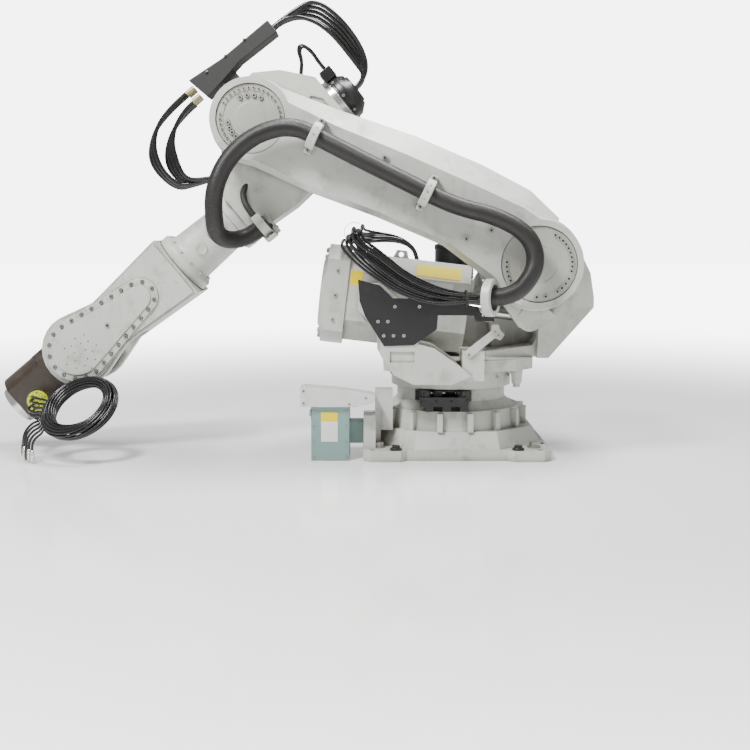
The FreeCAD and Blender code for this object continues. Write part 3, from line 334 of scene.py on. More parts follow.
@dataclass(frozen=True)
class Finish:
    """A painted, cast, moulded or machined surface."""

    name: str
    slot: Slot
    colour: Colour
    roughness: float = 0.45
    metallic: float = 0.0
    # The dust amount and colour also set how strong and how dark the painted corner shade is.
    dust_and_shade: float = 0.25
    dust_and_shade_colour: Colour = (0.33, 0.31, 0.26)
    chips: float = 0.2
    chip_colour: Colour = (0.10, 0.09, 0.08)
    tone: float = 0.08
    grain: float = 0.10
    grain_scale: float = 420.0
    coat: float = 0.0

    def material(self) -> bpy.types.Material:
        """Return the Blender material, made on the first call.

        Returns:
            The material, with its group of wear and painted corner shade set to this finish's values.
        """
        made = bpy.data.materials.get(self.name)
        if made is not None:
            return made
        made = bpy.data.materials.new(self.name)
        made.use_nodes = True
        wires = Wiring(made.node_tree)
        shader = made.node_tree.nodes["Principled BSDF"]
        group = wires.add("ShaderNodeGroup", node_tree=KIT.wear())
        values = {"Paint": rgba(self.colour), "Dust Colour": rgba(self.dust_and_shade_colour),
                  "Chip Colour": rgba(self.chip_colour), "Dust": self.dust_and_shade, "Chips": self.chips, "Tone": self.tone,
                  "Roughness": self.roughness, "Grain Scale": self.grain_scale}
        for socket, value in values.items():
            group.inputs[socket].default_value = value
        bump = wires.add("ShaderNodeBump")
        bump.inputs["Strength"].default_value = self.grain
        bump.inputs["Distance"].default_value = 0.6 * MM
        wires.join(group.outputs["Height"], bump.inputs["Height"])
        wires.join(group.outputs["Colour"], shader.inputs["Base Color"])
        wires.join(group.outputs["Roughness"], shader.inputs["Roughness"])
        wires.join(bump.outputs[0], shader.inputs["Normal"])
        shader.inputs["Metallic"].default_value = self.metallic
        shader.inputs["Coat Weight"].default_value = self.coat
        made.diffuse_color = rgba(self.colour)
        return made


# Dust colour, which is also the colour of the painted corner shade.
GREY_DUST_AND_SHADE = (0.24, 0.225, 0.185)
WHITE = Finish("white_enamel", Slot.WHITE, (0.55, 0.555, 0.515), 0.36, dust_and_shade=0.62, dust_and_shade_colour=GREY_DUST_AND_SHADE, chips=0.5,
               tone=0.14, grain=0.07)
WRIST_WHITE = Finish("worn_white_enamel", Slot.WHITE, (0.54, 0.545, 0.505), 0.36, dust_and_shade=0.70, dust_and_shade_colour=GREY_DUST_AND_SHADE,
                     chip_colour=(0.05, 0.045, 0.04), chips=1.6, tone=0.14, grain=0.08)
# A darker copy of the white enamel: painted shade for the recessed elbow and shoulder covers; the gearbox and several
# screw sets use it too.
SHADED_COVER_WHITE = Finish("cover_enamel", Slot.WHITE, (0.42, 0.425, 0.38), 0.42, dust_and_shade=0.6, chips=0.2, grain=0.05)
BOX_WHITE = Finish("box_lid_enamel", Slot.WHITE, (0.66, 0.67, 0.65), 0.36, dust_and_shade=0.3, chips=0.1, grain=0.05)
BLACK = Finish("black_enamel", Slot.BLACK, (0.006, 0.006, 0.006), 0.34, dust_and_shade=0.05, chips=0.1, chip_colour=(0.3, 0.3,
               0.29))
SATIN_BLACK = Finish("sheet_black", Slot.BLACK, (0.008, 0.007, 0.008), 0.50, dust_and_shade=0.03, chips=0.05,
                     chip_colour=(0.25, 0.25, 0.24), grain=0.04)
RUBBER = Finish("cord_rubber", Slot.RUBBER, (0.007, 0.007, 0.007), 0.24, dust_and_shade=0.0, chips=0.0, grain=0.0)
BRAID = Finish("braided_sleeve", Slot.RUBBER, (0.016, 0.014, 0.012), 0.55, dust_and_shade=0.05, chips=0.0, grain=0.8)
HOSE = Finish("hose_weave", Slot.RUBBER, (0.007, 0.006, 0.005), 0.44, dust_and_shade=0.02, chips=0.0, grain=0.5,
              grain_scale=900.0)
CARRIER = Finish("carrier_rubber", Slot.RUBBER, (0.020, 0.021, 0.019), 0.66, dust_and_shade=0.05, chips=0.0, grain=0.3)
STEEL = Finish("screw_steel", Slot.STEEL, (0.62, 0.61, 0.58), 0.28, metallic=1.0, dust_and_shade=0.15, chips=0.1)
MACHINED = Finish("machined_steel", Slot.STEEL, (0.66, 0.66, 0.65), 0.20, metallic=1.0, dust_and_shade=0.08, chips=0.0,
                  grain=0.05)
ZINC = Finish("zinc_screws", Slot.STEEL, (0.40, 0.39, 0.36), 0.36, metallic=1.0, dust_and_shade=0.2, chips=0.2)
TEAL = Finish("teal_enamel", Slot.TEAL, (0.21, 0.33, 0.31), 0.38, dust_and_shade=0.2, chips=0.2)
BRONZE = Finish("brown_enamel", Slot.BRONZE, (0.026, 0.017, 0.011), 0.34, dust_and_shade=0.16, chips=0.6,
                dust_and_shade_colour=(0.22, 0.19, 0.15), chip_colour=(0.40, 0.34, 0.27), tone=0.6)
YELLOW = Finish("yellow_cap", Slot.YELLOW, (0.56, 0.62, 0.0), 0.36, dust_and_shade=0.2, chips=0.2)
BLANK_YELLOW = Finish("blank_yellow_plate", Slot.YELLOW, (0.88, 0.68, 0.0), 0.42, dust_and_shade=0.1, chips=0.1, grain=0.02)
BLANK_WHITE = Finish("blank_white_plate", Slot.WHITE, (0.78, 0.78, 0.76), 0.36, dust_and_shade=0.08, chips=0.0, grain=0.02)
BRASS = Finish("connector_brass", Slot.STEEL, (0.50, 0.46, 0.28), 0.32, metallic=1.0, dust_and_shade=0.2, chips=0.1)
# Dark seals in the seams, the cable ties and the cover dots; also painted shade in the screw sockets and in the dark
# rings round some screw heads.
DARK_SEAL_AND_SHADE = Finish("dark_seal", Slot.RUBBER, (0.012, 0.012, 0.011), 0.8, dust_and_shade=0.0, chips=0.0)


# ------------------------------------------------------------------ local frames


@dataclass(frozen=True)
class Link:
    """A frame along an arm: a point on its joint axis, its long direction and its upward side."""

    origin: Vector
    along: Vector

    @property
    def up(self) -> Vector:
        """Return the direction square to the arm in the side view."""
        return Vector((-self.along.z, 0.0, self.along.x))

    def at(self, x: float, y: float, z: float) -> Vector:
        """Return the point x along the arm, y across the robot and z above the arm's line, in metres."""
        spot = self.origin + self.along * x + self.up * z
        return Vector((spot.x, y, spot.z))

    def turn(self, x: float, y: float, z: float) -> Vector:
        """Return a direction given along, across and above the arm."""
        return self.along * x + Vector((0.0, y, 0.0)) + self.up * z


def joint_spot(name: str) -> Vector:
    """Return the point on a joint's axis."""
    found = next(joint for joint in frame["joints"] if joint["name"] == name)
    return Vector(found["pos_m"])


def joint_axis(name: str) -> Vector:
    """Return a joint's axis."""
    found = next(joint for joint in frame["joints"] if joint["name"] == name)
    return Vector(found["axis"]).normalized()


SHOULDER = joint_spot("shoulder")
ELBOW = joint_spot("elbow")
WRIST = joint_spot("wrist_bend")
TRUNNION = joint_spot("balancer_tilt")
LOWER = Link(SHOULDER, (SHOULDER - ELBOW).normalized())
ROLL = joint_axis("forearm_roll")
UPPER = Link(ELBOW, ROLL if ROLL.x > 0.0 else -ROLL)
BALANCER = Link(TRUNNION, (joint_spot("rod_pivot") - TRUNNION).normalized())
FLAT = Link(Vector((0.0, 0.0, 0.0)), Vector((1.0, 0.0, 0.0)))
WRIST_X = (WRIST - UPPER.origin).dot(UPPER.along)
NEAR = Vector((0.0, -1.0, 0.0))
FAR = Vector((0.0, 1.0, 0.0))
UP = Vector((0.0, 0.0, 1.0))


# ------------------------------------------------------------------ pieces


def full_circle(count: int) -> list[float]:
    """Return evenly spaced angles round a circle, in radians."""
    return [2.0 * math.pi * k / count for k in range(count)]


def bridge(shape: bmesh.types.BMesh, loops: Sequence[list], following: Sequence[list]) -> None:
    """Skin the gaps between loops of points with four-sided faces.

    Args:
        shape: the shape that gets the faces.
        loops: the loops, each with as many points as the others.
        following: the loop that each of them is joined to.
    """
    for first, second in zip(loops, following):
        count = len(first)
        for k in range(count):
            j = (k + 1) % count
            shape.faces.new((first[k], first[j], second[j], second[k]))


class Workshop:
    """Makes finished pieces, mounts them on bodies and reports them."""

    def __init__(self) -> None:
        """Start with no screw tree."""
        self.screw_tree: bpy.types.NodeTree | None = None

    def link(self, name: str, mesh: bpy.types.Mesh, finish: Finish) -> bpy.types.Object:
        """Return a new object for a mesh, wearing a finish.

        Args:
            name: the piece's name.
            mesh: its mesh.
            finish: what it wears.

        Returns:
            The new object, in the scene.
        """
        thing = bpy.data.objects.new(name, mesh)
        bpy.context.scene.collection.objects.link(thing)
        mesh.materials.clear()
        mesh.materials.append(finish.material())
        return thing

    def mount(self, thing: bpy.types.Object, body: str,
              stands_for: Sequence[str] = ()) -> bpy.types.Object:
        """Ride a piece on a body and hide the solids it stands for.

        Args:
            thing: the piece.
            body: the body it rides on.
            stands_for: the CAD nodes it stands for.

        Returns:
            The same piece.
        """
        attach(thing, body)
        if stands_for:
            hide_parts(*stands_for)
        log.info("%s on %s, %d faces", thing.name, body, len(thing.data.polygons))
        return thing

    def from_bmesh(self, name: str, shape: bmesh.types.BMesh, finish: Finish,
                   smooth: float = 40.0) -> bpy.types.Object:
        """Return an object from a bmesh with outward normals and creases above an angle.

        Args:
            name: the piece's name.
            shape: its shape, which is freed.
            finish: what it wears.
            smooth: the angle in degrees above which an edge is a crease.

        Returns:
            The new object, in the scene.
        """
        bmesh.ops.remove_doubles(shape, verts=shape.verts, dist=1e-6)
        bmesh.ops.recalc_face_normals(shape, faces=shape.faces)
        mesh = bpy.data.meshes.new(name)
        shape.to_mesh(mesh)
        shape.free()
        thing = self.link(name, mesh, finish)
        mesh.shade_smooth()
        mesh.set_sharp_from_angle(angle=math.radians(smooth))
        return thing

    def bevelled(self, thing: bpy.types.Object, width: float, angle: float = 30.0, segments: int = 2) -> None:
        """Round the sharp edges of a piece with a live bevel.

        Args:
            thing: the piece.
            width: how far its edges are rounded, in metres.
            angle: the angle in degrees above which an edge is sharp.
            segments: how many faces the rounding has.
        """
        bevel = thing.modifiers.new("rounded_edges", "BEVEL")
        bevel.width = width
        bevel.segments = segments
        bevel.limit_method = "ANGLE"
        bevel.angle_limit = math.radians(angle)
        bevel.harden_normals = True
        bevel.use_clamp_overlap = True

    def refined(self, node: str, body: str, finish: Finish, width: float) -> bpy.types.Object:
        """Stand a merged, edge-rounded copy in for a CAD node.

        Args:
            node: the CAD node.
            body: the body it rides on.
            finish: what it wears.
            width: how far its edges are rounded, in metres.

        Returns:
            The new piece.
        """
        shape = bmesh.new()
        shape.from_mesh(frame["nodes"][node].data)
        bmesh.ops.remove_doubles(shape, verts=shape.verts, dist=2e-5)
        bmesh.ops.dissolve_limit(shape, angle_limit=math.radians(0.6), verts=shape.verts, edges=shape.edges)
        mesh = bpy.data.meshes.new(node + "_skin")
        shape.to_mesh(mesh)
        shape.free()
        thing = self.link(node + "_skin", mesh, finish)
        mesh.shade_smooth()
        mesh.set_sharp_from_angle(angle=math.radians(28.0))
        self.bevelled(thing, width)
        return self.mount(thing, body, [node])

    # -- screws

    def screws_tree(self) -> bpy.types.NodeTree:
        """Return the geometry tree that puts socket screws on points, each facing its own way.

        Returns:
            The tree, built on the first call.
        """
        if self.screw_tree is not None:
            return self.screw_tree
        number = "NodeSocketFloat"
        tree = new_group(
            "ScrewsOnPoints",
            [SocketSpec("Geometry", "NodeSocketGeometry"), SocketSpec("Head Radius", number, 0.008),
             SocketSpec("Head Height", number, 0.006), SocketSpec("Washer Radius", number, 0.011),
             SocketSpec("Socket Radius", number, 0.0045), SocketSpec("Finish", "NodeSocketMaterial"),
             SocketSpec("Socket Finish", "NodeSocketMaterial"), SocketSpec("Washer Finish", "NodeSocketMaterial")],
            [SocketSpec("Geometry", "NodeSocketGeometry")],
            "GeometryNodeTree",
        )
        tree.is_modifier = True
        wires = Wiring(tree)
        given = tree.nodes["In"].outputs

        def drum(sides: int, radius: object, depth: object, lift: object) -> bpy.types.NodeSocket:
            """Return a cylinder whose middle is lifted along Z.

            Args:
                sides: how many sides it has.
                radius: its radius.
                depth: its height.
                lift: how far its middle is lifted.

            Returns:
                The cylinder's socket.
            """
            made = wires.add("GeometryNodeMeshCylinder")
            wires.feed(made, "Vertices", sides)
            wires.feed(made, "Radius", radius)
            wires.feed(made, "Depth", depth)
            place = wires.add("ShaderNodeCombineXYZ")
            wires.feed(place, "Z", lift)
            moved = wires.add("GeometryNodeTransform")
            wires.join(made.outputs["Mesh"], moved.inputs["Geometry"])
            wires.join(place.outputs[0], moved.inputs["Translation"])
            return moved.outputs[0]

        def dressed(part: bpy.types.NodeSocket, finish: bpy.types.NodeSocket) -> bpy.types.NodeSocket:
            """Return a part wearing a finish.

            Args:
                part: the part's socket.
                finish: the material's socket.

            Returns:
                The dressed part's socket.
            """
            dress = wires.add("GeometryNodeSetMaterial")
            wires.join(part, dress.inputs["Geometry"])
            wires.join(finish, dress.inputs["Material"])
            return dress.outputs[0]

        half = wires.maths("MULTIPLY", given["Head Height"], 0.5)
        head = drum(16, given["Head Radius"], given["Head Height"], half)
        collar = drum(16, wires.maths("MULTIPLY", given["Socket Radius"], 1.25), wires.maths("MULTIPLY", half, 0.4),
                      wires.maths("MULTIPLY", half, 2.05))
        # The socket is a dark hexagon set just proud of the head: painted shade standing in for the hex recess.
        socket = drum(6, given["Socket Radius"], wires.maths("MULTIPLY", half, 0.4),
                      wires.maths("MULTIPLY", half, 2.15))
        thin = wires.maths("MULTIPLY", given["Head Height"], 0.30)
        washer = drum(18, given["Washer Radius"], thin, 0.0)
        joined = wires.add("GeometryNodeJoinGeometry")
        wires.join(dressed(head, given["Finish"]), joined.inputs[0])
        wires.join(dressed(collar, given["Finish"]), joined.inputs[0])
        wires.join(dressed(socket, given["Socket Finish"]), joined.inputs[0])
        wires.join(dressed(washer, given["Washer Finish"]), joined.inputs[0])
        facing = wires.add("GeometryNodeInputNamedAttribute", data_type="FLOAT_VECTOR")
        facing.inputs["Name"].default_value = "facing"
        turn = wires.add("FunctionNodeAlignEulerToVector", axis="Z")
        wires.join(facing.outputs[0], turn.inputs["Vector"])
        spread = wires.add("GeometryNodeInstanceOnPoints")
        wires.join(given["Geometry"], spread.inputs["Points"])
        wires.join(joined.outputs[0], spread.inputs["Instance"])
        wires.join(turn.outputs[0], spread.inputs["Rotation"])
        real = wires.add("GeometryNodeRealizeInstances")
        wires.join(spread.outputs[0], real.inputs[0])
        wires.join(real.outputs[0], tree.nodes["Out"].inputs[0])
        self.screw_tree = tree
        return tree

    def screws(self, name: str, body: str, spots: Sequence[Vector], facing: Sequence[Vector] | Vector, radius: float,
               finish: Finish = STEEL, height: float = 0.0, washer: float = 0.0,
               rim: Finish | None = None) -> bpy.types.Object:
        """Set socket screws on points.

        Args:
            name: the piece's name.
            body: the body they ride on.
            spots: where each head sits.
            facing: one direction for all, or one for each.
            radius: the heads' radius in metres.
            finish: what they wear.
            height: the heads' height, or 0 for one in proportion.
            washer: the washers' radius, or 0 for one in proportion.
            rim: what the washers wear, or None for the same.

        Returns:
            The screws as one plain mesh.
        """
        ways = [facing] * len(spots) if isinstance(facing, Vector) else list(facing)
        seed = bpy.data.meshes.new(name + "_points")
        seed.from_pydata([tuple(spot) for spot in spots], [], [])
        turned = seed.attributes.new("facing", "FLOAT_VECTOR", "POINT")
        turned.data.foreach_set("vector", [part for way in ways for part in way.normalized()])
        holder = bpy.data.objects.new(name + "_holder", seed)
        bpy.context.scene.collection.objects.link(holder)
        tree = self.screws_tree()
        made = holder.modifiers.new("screws", "NODES")
        made.node_group = tree
        names = {item.name: item.identifier for item in tree.interface.items_tree if item.in_out == "INPUT"}
        made[names["Head Radius"]] = radius
        made[names["Head Height"]] = height or radius * 0.75
        made[names["Washer Radius"]] = washer or radius * 1.35
        made[names["Socket Radius"]] = radius * 0.55
        made[names["Finish"]] = finish.material()
        # Every socket gets the dark seal finish as painted shade of the recess.
        made[names["Socket Finish"]] = DARK_SEAL_AND_SHADE.material()
        made[names["Washer Finish"]] = (rim or finish).material()
        graph = bpy.context.evaluated_depsgraph_get()
        mesh = bpy.data.meshes.new_from_object(holder.evaluated_get(graph), depsgraph=graph)
        bpy.data.objects.remove(holder)
        mesh.name = name
        thing = bpy.data.objects.new(name, mesh)
        bpy.context.scene.collection.objects.link(thing)
        mesh.shade_smooth()
        mesh.set_sharp_from_angle(angle=math.radians(35.0))
        return self.mount(thing, body)

    def touch(self, node: str, start: Vector, way: Vector) -> Vector:
        """Return where a straight line from a point first meets a CAD node.

        Args:
            node: the CAD node's name.
            start: a point outside the node.
            way: the line's direction.

        Returns:
            The meeting point, or the start when there is none.
        """
        mesh = bpy.data.objects[node].data
        faces = [tuple(face.vertices) for face in mesh.polygons]
        tree = BVHTree.FromPolygons([vert.co for vert in mesh.vertices], faces)
        spot = tree.ray_cast(start, way)[0]
        return spot if spot is not None else start

    # -- solids made from outlines

    def plate(self, name: str, body: str, finish: Finish, corners: Sequence[Vector], thick: Vector,
              round_by: float = 1.0 * MM, stands_for: Sequence[str] = ()) -> bpy.types.Object:
        """Make a flat plate from its outline and a thickness vector.

        Args:
            name: the piece's name.
            body: the body it rides on.
            finish: what it wears.
            corners: the outline of its first face.
            thick: the way to its second face.
            round_by: how far its edges are rounded, in metres.
            stands_for: the CAD nodes it stands for.

        Returns:
            The new piece.
        """
        shape = bmesh.new()
        low = [shape.verts.new(corner) for corner in corners]
        high = [shape.verts.new(corner + thick) for corner in corners]
        shape.faces.new(low)
        shape.faces.new(list(reversed(high)))
        count = len(low)
        for i in range(count):
            j = (i + 1) % count
            shape.faces.new((low[i], low[j], high[j], high[i]))
        thing = self.from_bmesh(name, shape, finish, 30.0)
        self.bevelled(thing, round_by)
        return self.mount(thing, body, stands_for)

    def drum(self, name: str, body: str, finish: Finish, start: Vector, way: Vector,
             profile: Sequence[tuple[float, float]], sides: int = 48,
             stands_for: Sequence[str] = ()) -> bpy.types.Object:
        """Turn a profile of (height, radius) about an axis; the profile closes on itself.

        Args:
            name: the piece's name.
            body: the body it rides on.
            finish: what it wears.
            start: the point that heights are measured from.
            way: the axis.
            profile: the (height, radius) pairs in order.
            sides: how many sides the turned skin has.
            stands_for: the CAD nodes it stands for.

        Returns:
            The new piece.
        """
        shape = bmesh.new()
        turn = way.to_track_quat("Z", "X")
        loops = []
        for height, radius in profile:
            loop = []
            for angle in full_circle(sides):
                spot = Vector((radius * math.cos(angle), radius * math.sin(angle), height))
                loop.append(shape.verts.new(start + turn @ spot))
            loops.append(loop)
        bridge(shape, loops, loops[1:] + loops[:1])
        thing = self.from_bmesh(name, shape, finish, 32.0)
        return self.mount(thing, body, stands_for)


SHOP = Workshop()


def circle_spots(link: Link, x: float, z: float, y: float, radius: float, angles: Iterable[float]) -> list[Vector]:
    """Return points on a circle seen from the side.

    Args:
        link: the frame they lie in.
        x: the circle's middle along the arm.
        z: the circle's middle above the arm's line.
        y: the layer across the robot.
        radius: the circle's radius.
        angles: where the points are, in degrees.

    Returns:
        The points.
    """
    spots = []
    for angle in angles:
        turn = math.radians(angle)
        spots.append(link.at(x + radius * math.cos(turn), y, z + radius * math.sin(turn)))
    return spots


def even(first: float, last: float, count: int) -> list[float]:
    """Return evenly spaced values from first to last."""
    return [first + (last - first) * i / max(count - 1, 1) for i in range(count)]


def bearings(first: float, last: float, count: int) -> list[float]:
    """Return evenly spaced angles in radians from limits in degrees."""
    return [math.radians(angle) for angle in even(first, last, count)]


# ------------------------------------------------------------------ cords and hoses


def smooth_line(points: Route, resolution: int = 10) -> list[Vector]:
    """Return points along an open NURBS line of order 3.

    Args:
        points: the line's control points.
        resolution: how many points each span gives.

    Returns:
        The points that the line passes.
    """
    curve = bpy.data.curves.new("line", "CURVE")
    curve.dimensions = "3D"
    curve.resolution_u = resolution
    spline = curve.splines.new("NURBS")
    spline.points.add(len(points) - 1)
    for spot, knot in zip(points, spline.points):
        knot.co = (*spot, 1.0)
    spline.order_u = 3
    spline.use_endpoint_u = True
    holder = bpy.data.objects.new("line", curve)
    bpy.context.scene.collection.objects.link(holder)
    graph = bpy.context.evaluated_depsgraph_get()
    mesh = bpy.data.meshes.new_from_object(holder.evaluated_get(graph), depsgraph=graph)
    line = [Vector(vert.co) for vert in mesh.vertices]
    bpy.data.objects.remove(holder)
    bpy.data.meshes.remove(mesh)
    return line


def resampled(line: Sequence[Vector], step: float) -> list[Vector]:
    """Return evenly spaced points along a line.

    Args:
        line: the points that the line passes.
        step: about how far apart the new points are.

    Returns:
        The new points, with both ends kept.
    """
    total = sum((b - a).length for a, b in zip(line, line[1:]))
    count = max(2, round(total / step))
    gap = total / count
    out = [line[0].copy()]
    reach = 0.0
    for a, b in zip(line, line[1:]):
        run = (b - a).length
        while reach + run >= gap * len(out) - 1e-9 and len(out) < count:
            out.append(a.lerp(b, (gap * len(out) - reach) / run))
        reach += run
    out.append(line[-1].copy())
    return out


@dataclass(frozen=True)
class Tube:
    """A round tube that may be ribbed across its length."""

    radius: float
    sides: int = 28
    pitch: float = 0.0
    depth: float = 0.0


def add_tube(shape: bmesh.types.BMesh, tube: Tube, line: Sequence[Vector]) -> None:
    """Add a tube's closed skin along a line to a shape.

    Args:
        shape: the shape that gets the tube.
        tube: the tube's section.
        line: the points that it follows.
    """
    step = tube.pitch / 4.0 if tube.pitch else tube.radius * 0.9
    spots = resampled(line, step)
    side = (spots[1] - spots[0]).orthogonal().normalized()
    loops = []
    for i, spot in enumerate(spots):
        ahead = spots[min(i + 1, len(spots) - 1)] - spots[max(i - 1, 0)]
        way = ahead.normalized()
        side = (side - way * side.dot(way)).normalized()
        other = way.cross(side)
        radius = tube.radius
        if tube.pitch and i % 4 in (2, 3):
            radius -= tube.depth
        loop = []
        for angle in full_circle(tube.sides):
            loop.append(shape.verts.new(spot + (side * math.cos(angle) + other * math.sin(angle)) * radius))
        loops.append(loop)
    bridge(shape, loops, loops[1:])
    shape.faces.new(loops[0])
    shape.faces.new(loops[-1])


def motor_trim(name: str, body: str, start: Vector, way: Vector, radius: float, first: float) -> None:
    """Give a drive motor its cooling rings, its end cap and the cap's screws.

    Args:
        name: the motor's CAD node.
        body: the body it rides on.
        start: the middle of the motor's end face.
        way: the direction out of that face.
        radius: the motor's radius.
        first: how far behind the face the cooling rings begin.
    """
    profile = [(-0.012, radius), (-0.010, radius + 0.0025), (0.006, radius + 0.0025), (0.010, radius - 0.001),
               (0.013, radius - 0.010), (0.013, radius * 0.62), (0.010, radius * 0.58), (0.010, 0.0005)]
    SHOP.drum(f"{name}_cap", body, BLACK, start, way, profile)
    for k in range(6):
        ring = [(0.0, radius - 0.001), (0.0, radius + 0.0025), (0.006, radius + 0.0025), (0.006, radius - 0.001)]
        SHOP.drum(f"{name}_ring_{k}", body, BLACK, start - way * (first + 0.014 * k), way, ring)
    side = way.orthogonal().normalized()
    other = way.cross(side)
    spots = []
    for turn in bearings(45.0, 315.0, 4):
        spots.append(start + way * 0.0125 + (side * math.cos(turn) + other * math.sin(turn)) * radius * 0.76)
    SHOP.screws(f"{name}_screws", body, spots, way, 4.5 * MM, ZINC)


def seam(name: str, body: str, middle: Vector, way: Vector, radius: float, wide: float = 2.2 * MM) -> None:
    """Lay a thin dark seal in the seam between two turned parts."""
    ring = [(0.0, radius - 0.004), (0.0, radius), (wide, radius), (wide, radius - 0.004)]
    SHOP.drum(name, body, DARK_SEAL_AND_SHADE, middle, way, ring, 72)


# ------------------------------------------------------------------ sub-assemblies


@dataclass
class Foundation:
    """Foot plate, drum, stop bracket, connector box and its cover."""

    body: str = "base"
    label_wide: float = 0.066
    label_high: float = 0.098
    foot_top: float = 0.0444
    free_holes: tuple[tuple[float, float], ...] = (
        (-0.250, -0.345), (0.262, -0.345), (-0.352, -0.180), (0.366, -0.180))

    def build(self) -> None:
        """Dress every piece of the base."""
        SHOP.refined("base_casting", self.body, WHITE, 3.5 * MM)
        SHOP.refined("foundation_bolts", self.body, ZINC, 1.2 * MM)
        SHOP.refined("levelling_caps", self.body, BLACK, 1.5 * MM)
        SHOP.refined("stop_bracket", self.body, BLACK, 3.0 * MM)
        SHOP.refined("connector_box", self.body, TEAL, 2.0 * MM)
        SHOP.refined("connector_cover", self.body, BOX_WHITE, 3.0 * MM)
        self.labels()
        self.box_trim()
        self.stop_screws()
        self.plugs()

    def labels(self) -> None:
        """Put the blank plates on the connector box."""
        low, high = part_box("connector_box")
        left = low.x + 0.046
        top = high.z - 0.022
        face = low.y + 0.006
        thick = NEAR * PLATE_THICK
        split = top - self.label_high * 0.38
        for name, finish, z0, z1 in (("box_plate_yellow", BLANK_YELLOW, split, top),
                                     ("box_plate_white", BLANK_WHITE, top - self.label_high - 0.02, split)):
            corners = [Vector((left, face, z0)), Vector((left + self.label_wide, face, z0)),
                       Vector((left + self.label_wide, face, z1)), Vector((left, face, z1))]
            SHOP.plate(name, self.body, finish, corners, thick, 0.3 * MM)

    def box_trim(self) -> None:
        """Put the cover screws on the connector box and its lid."""
        low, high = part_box("connector_box")
        face = low.y + 0.0055
        spots = [Vector((low.x + 0.016, face, z)) for z in even(low.z + 0.02, high.z - 0.02, 4)]
        spots += [Vector((low.x + 0.145, face, z)) for z in even(low.z + 0.02, high.z - 0.02, 4)]
        SHOP.screws("box_screws", self.body, spots, NEAR, 4.0 * MM, ZINC)
        low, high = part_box("connector_cover")
        spots = [Vector((low.x + 0.014, low.y, low.z + 0.016)), Vector((low.x + 0.014, low.y, high.z - 0.018)),
                 Vector((high.x - 0.034, low.y, low.z + 0.036)), Vector((high.x - 0.1, low.y, low.z + 0.012))]
        SHOP.screws("cover_screws", self.body, spots, NEAR, 4.0 * MM, ZINC)

    def stop_screws(self) -> None:
        """Set the screws along the stop bracket's top and in its feet."""
        low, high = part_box("stop_bracket")
        top = high.z - 0.008
        spots = [Vector((x, low.y + 0.032, top)) for x in even(low.x + 0.062, high.x - 0.062, 3)]
        SHOP.screws("stop_top_screws", self.body, spots, UP, 6.0 * MM, ZINC)
        spots = [Vector((x, low.y, low.z + 0.040)) for x in even(low.x + 0.022, high.x - 0.022, 4)]
        SHOP.screws("stop_face_screws", self.body, spots, NEAR, 6.0 * MM, BLACK, rim=BLACK)

    def plugs(self) -> None:
        """Cover the spare holes of the foot plate with flat dark discs: painted shade standing in for the holes."""
        spots = [Vector((x, y, self.foot_top)) for x, y in self.free_holes]
        SHOP.screws("foot_plugs", self.body, spots, UP, 7.0 * MM, BLACK, height=2.0 * MM, rim=BLACK)


